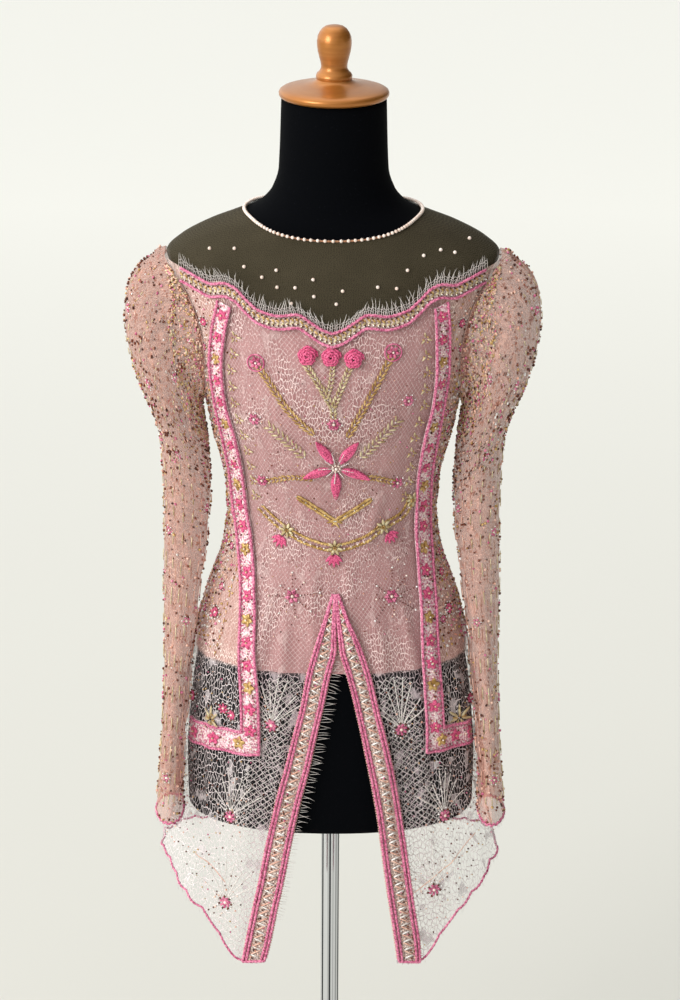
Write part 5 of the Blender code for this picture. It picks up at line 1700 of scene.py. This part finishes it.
def make_sleeve_work():
    """Beads all over the sleeves, bugles down their pleats and a few beaded flowers."""
    for side in (-1, 1):
        sleeve_beads(side)
        sleeve_close_work(side)
        sleeve_rods(side)
        for angle, place in SLEEVE_FLOWERS:
            base = sleeve_place(side, angle, place, 0.4)
            for count, reach, heap, bead in ((1, 0.0, "pearls", 1.5), (5, 3.4, "rose", 1.5),
                                             (6, 6.2, "crystal", 0.9)):
                turn = np.arange(count) * math.tau / count + angle
                HEAPS[heap].scatter(SEED, round_place(base, turn, reach), bead, lift=1.0)


YOKE_PEARLS = [
    (-138, 1277), (-110, 1280), (-99, 1263), (-63, 1261), (-79, 1253), (-62, 1243), (-42, 1243),
    (-22, 1252), (-21, 1234), (11, 1240), (4, 1226), (-46, 1226), (50, 1244), (71, 1242),
    (83, 1261), (101, 1275), (120, 1279), (136, 1275), (153, 1284),
]
BACK_PEARLS = [
    (132, 1268), (146, 1284), (158, 1262), (170, 1282), (120, 1250), (150, 1246), (172, 1252),
]


def make_yoke_pearls():
    """Single pearls on the yoke, in front and behind."""
    turn, z = np.array(BACK_PEARLS).T
    for places in (on_front(YOKE_PEARLS, YOKE_OFF), body_place(-turn, z, YOKE_OFF),
                   body_place(turn, z, YOKE_OFF)):
        HEAPS["pearls"].scatter(PEARL, places, 2.2, lift=1.2)


def make_seams(material):
    """Piping round the armholes, down the side seams and beside the concealed back zip."""
    seams = Heap()
    for side in (-1, 1):
        ring = armhole_seam(np.linspace(0, math.tau, 150)) * (side, 1, 1)
        outs = np.broadcast_to((float(side), 0, 0.2), ring.shape)
        add_cord(seams, Line(ring, outs), 0.4, 4.0, 5)
        for turn, low, high, count, radius in ((90.0, 540, 1092, 220, 0.8),
                                               (179.3, 900, 1225, 120, 0.9)):
            line = body_place(side * turn, np.linspace(low, high, count), LACE_OFF + 0.3)
            add_cord(seams, line, radius, 3.0, 5)
    seams.piece("seam_piping", material, "lace")


# ---- studio ---------------------------------------------------------------------------------
def make_camera():
    lens = bpy.data.cameras.new("studio_camera")
    lens.sensor_width, lens.lens = 36.0, LENS
    lens.clip_end = 100.0
    camera = bpy.data.objects.new("studio_camera", lens)
    camera.location = CAMERA_AT
    tilt = Matrix.Rotation(math.radians(90 - CAMERA_DOWN), 3, "X")
    roll = Matrix.Rotation(math.radians(CAMERA_ROLL), 3, "Z")
    camera.rotation_euler = (tilt @ roll).to_euler()
    bpy.context.scene.collection.objects.link(camera)
    bpy.context.scene.camera = camera


def area_light(name, at, aim, size, power, colour):
    lamp = bpy.data.lights.new(name, "AREA")
    lamp.shape, lamp.size, lamp.energy = "SQUARE", size, power
    lamp.color = linear(colour)[:3]
    item = bpy.data.objects.new(name, lamp)
    item.location = at
    item.rotation_euler = (Vector(aim) - Vector(at)).to_track_quat("-Z", "Y").to_euler()
    bpy.context.scene.collection.objects.link(item)


def make_air():
    """Daylight that is brighter from the left and from above, as beside a window."""
    world = bpy.data.worlds.new("studio_air")
    bpy.context.scene.world = world
    world.use_nodes = True
    tree = world.node_tree
    way = add(tree, "SeparateXYZ", {"Vector": add(tree, "TexCoord", {}).outputs["Generated"]})
    sideways = add(tree, "Math", {0: way.outputs["X"], 1: -AIR_LEFT, 2: AIR},
                   operation="MULTIPLY_ADD")
    upwards = add(tree, "Math", {0: way.outputs["Z"], 1: AIR_ABOVE, 2: sideways},
                  operation="MULTIPLY_ADD")
    strength = add(tree, "Math", {0: upwards, 1: AIR_LEAST}, operation="MAXIMUM")
    wire(tree.nodes["Background"], {"Color": "#f4f5f2", "Strength": strength})


def make_studio():
    corners = [(x * FLOOR_REACH, y * FLOOR_REACH, 0) for x, y in ((-1, -1), (1, -1), (1, 1), (-1, 1))]
    floor = new_mesh("studio_floor", corners, [(0, 1, 2, 3)], smooth=False)
    floor.materials.append(studio_paint())
    item = bpy.data.objects.new("studio_floor", floor)
    bpy.context.scene.collection.objects.link(item)
    make_air()
    area_light("window_left", (-2.6, -2.6, 2.6), (0, 0, 1.0), 1.8, KEY, "#fffdf8")
    area_light("fill_right", (2.8, -2.2, 1.9), (0, 0, 1.0), 2.0, FILL_LIGHT, "#fff6ee")
    area_light("top_soft", (0.0, 0.6, 3.4), (0, 0, 1.1), 2.0, TOP_LIGHT, "#fffaf2")
    view = bpy.context.scene.view_settings
    view.view_transform, view.look = "Standard", "None"
    view.exposure, view.gamma = 0.0, 1.0


# ---- the whole ------------------------------------------------------------------------------
make_camera()
make_studio()
jersey, copper, chrome = black_jersey(), copper_lacquer(), chromed_steel()
net = tulle("olive_tulle", "#463f30", "#363022")
roll_net = stitched("rolled_net_edge", "#8a5a3c", "#b98563", 0.7)
satin = satin_lining()
# in each lace the colour for the gathers is painted shade
lace = corded_lace("corded_lace", light="#d8c4c9", lined_light="#ecd2cf", tulle="#a89ca1",
                   dark="#bd9494", painted_gather_shade="#9d7474", cover=0.34, alone_cover=0.05)
side_lace = corded_lace("side_lace", light="#f2e6e7", lined_light="#fde9e0", tulle="#bdb5b9",
                        dark="#eac3b8", painted_gather_shade="#cd9e8f", cover=0.5, alone_cover=0.05)
sleeve_lace = corded_lace("sleeve_lace", light="#eebcaa", lined_light="#eebcaa", tulle="#bf7d6a",
                          dark="#bf7d6a", painted_gather_shade="#7c4030", cover=0.5, alone_cover=0.55)
braids = {"beige": stitched("beige_braid", "#6d524d", "#e6d2c8", 0.6, 1.8),
          "pink": stitched("pink_braid", "#bd6784", "#ffeeee", 0.6, 2.2)}
pink = stitched("pink_rayon_cord", "#9c2b5c", "#f392b4", 0.5, 2.0)
thread = stitched("pale_lace_thread", "#cfc4bf", "#f8f3ef", 0.6)
pearl = beads("dyed_pearl", "#e9cfc0", "#fbeee6", 0.22, Coat_Weight=0.5, Coat_Roughness=0.1)

make_form(jersey)
add_turned("turned_cap", CAP, copper, ("neck_cap",))
add_turned("pole_and_base", STAND, chrome, ("stand",))
make_yoke(net)
make_lining(satin)
make_lace(lace, side_lace)
make_sleeves(sleeve_lace)
trims = band_trims()
make_bands(trims, braids, pink)
make_hem(pink)
make_cuffs(pink)
make_neck(pearl, roll_net)
make_lashes(thread)
make_seams(stitched("seam_thread", "#b98f85", "#d5aea3", 0.7))
for trim in trims:
    trim.work(trim)
make_centre_work()
make_side_work()
make_skirt_work()
make_raised_net()
make_sleeve_work()
make_yoke_pearls()
WORK = {
    "hot_pink": (stitched("hot_pink_floss", "#a11450", "#f9709f", 0.5, 1.6), "pink_cord",
                 ("rosette_left", "rosette_middle", "rosette_right", "centre_flower")),
    "rose": (beads("rose_glass", "#b2416f", "#e58aa9", 0.2), "pink_cord", ()),
    "gold": (beads("antique_gold_bullion", "#9c7436", "#e6c280", 0.3, 0.35), "bead_band", ()),
    "straw": (beads("straw_bullion", "#ab9264", "#ecdfb8", 0.35, 0.25), "bead_band", ()),
    "copper": (beads("dark_copper_glass", "#3a1810", "#8a4a32", 0.22, 0.3), "bead_band", ()),
    "blush": (beads("blush_glass", "#d59a86", "#f2cdbb", 0.2), "bead_band", ()),
    "crystal": (beads("silver_lined_crystal", "#d9d2cb", "#ffffff", 0.12, 0.2), "pearl", ()),
    "pearls": (pearl, "pearl", ()),
    "threads": (thread, "lash_thread", ()),
}
for name, (material, slot, nodes) in WORK.items():
    HEAPS[name].piece("work_in_" + name, material, slot, nodes)
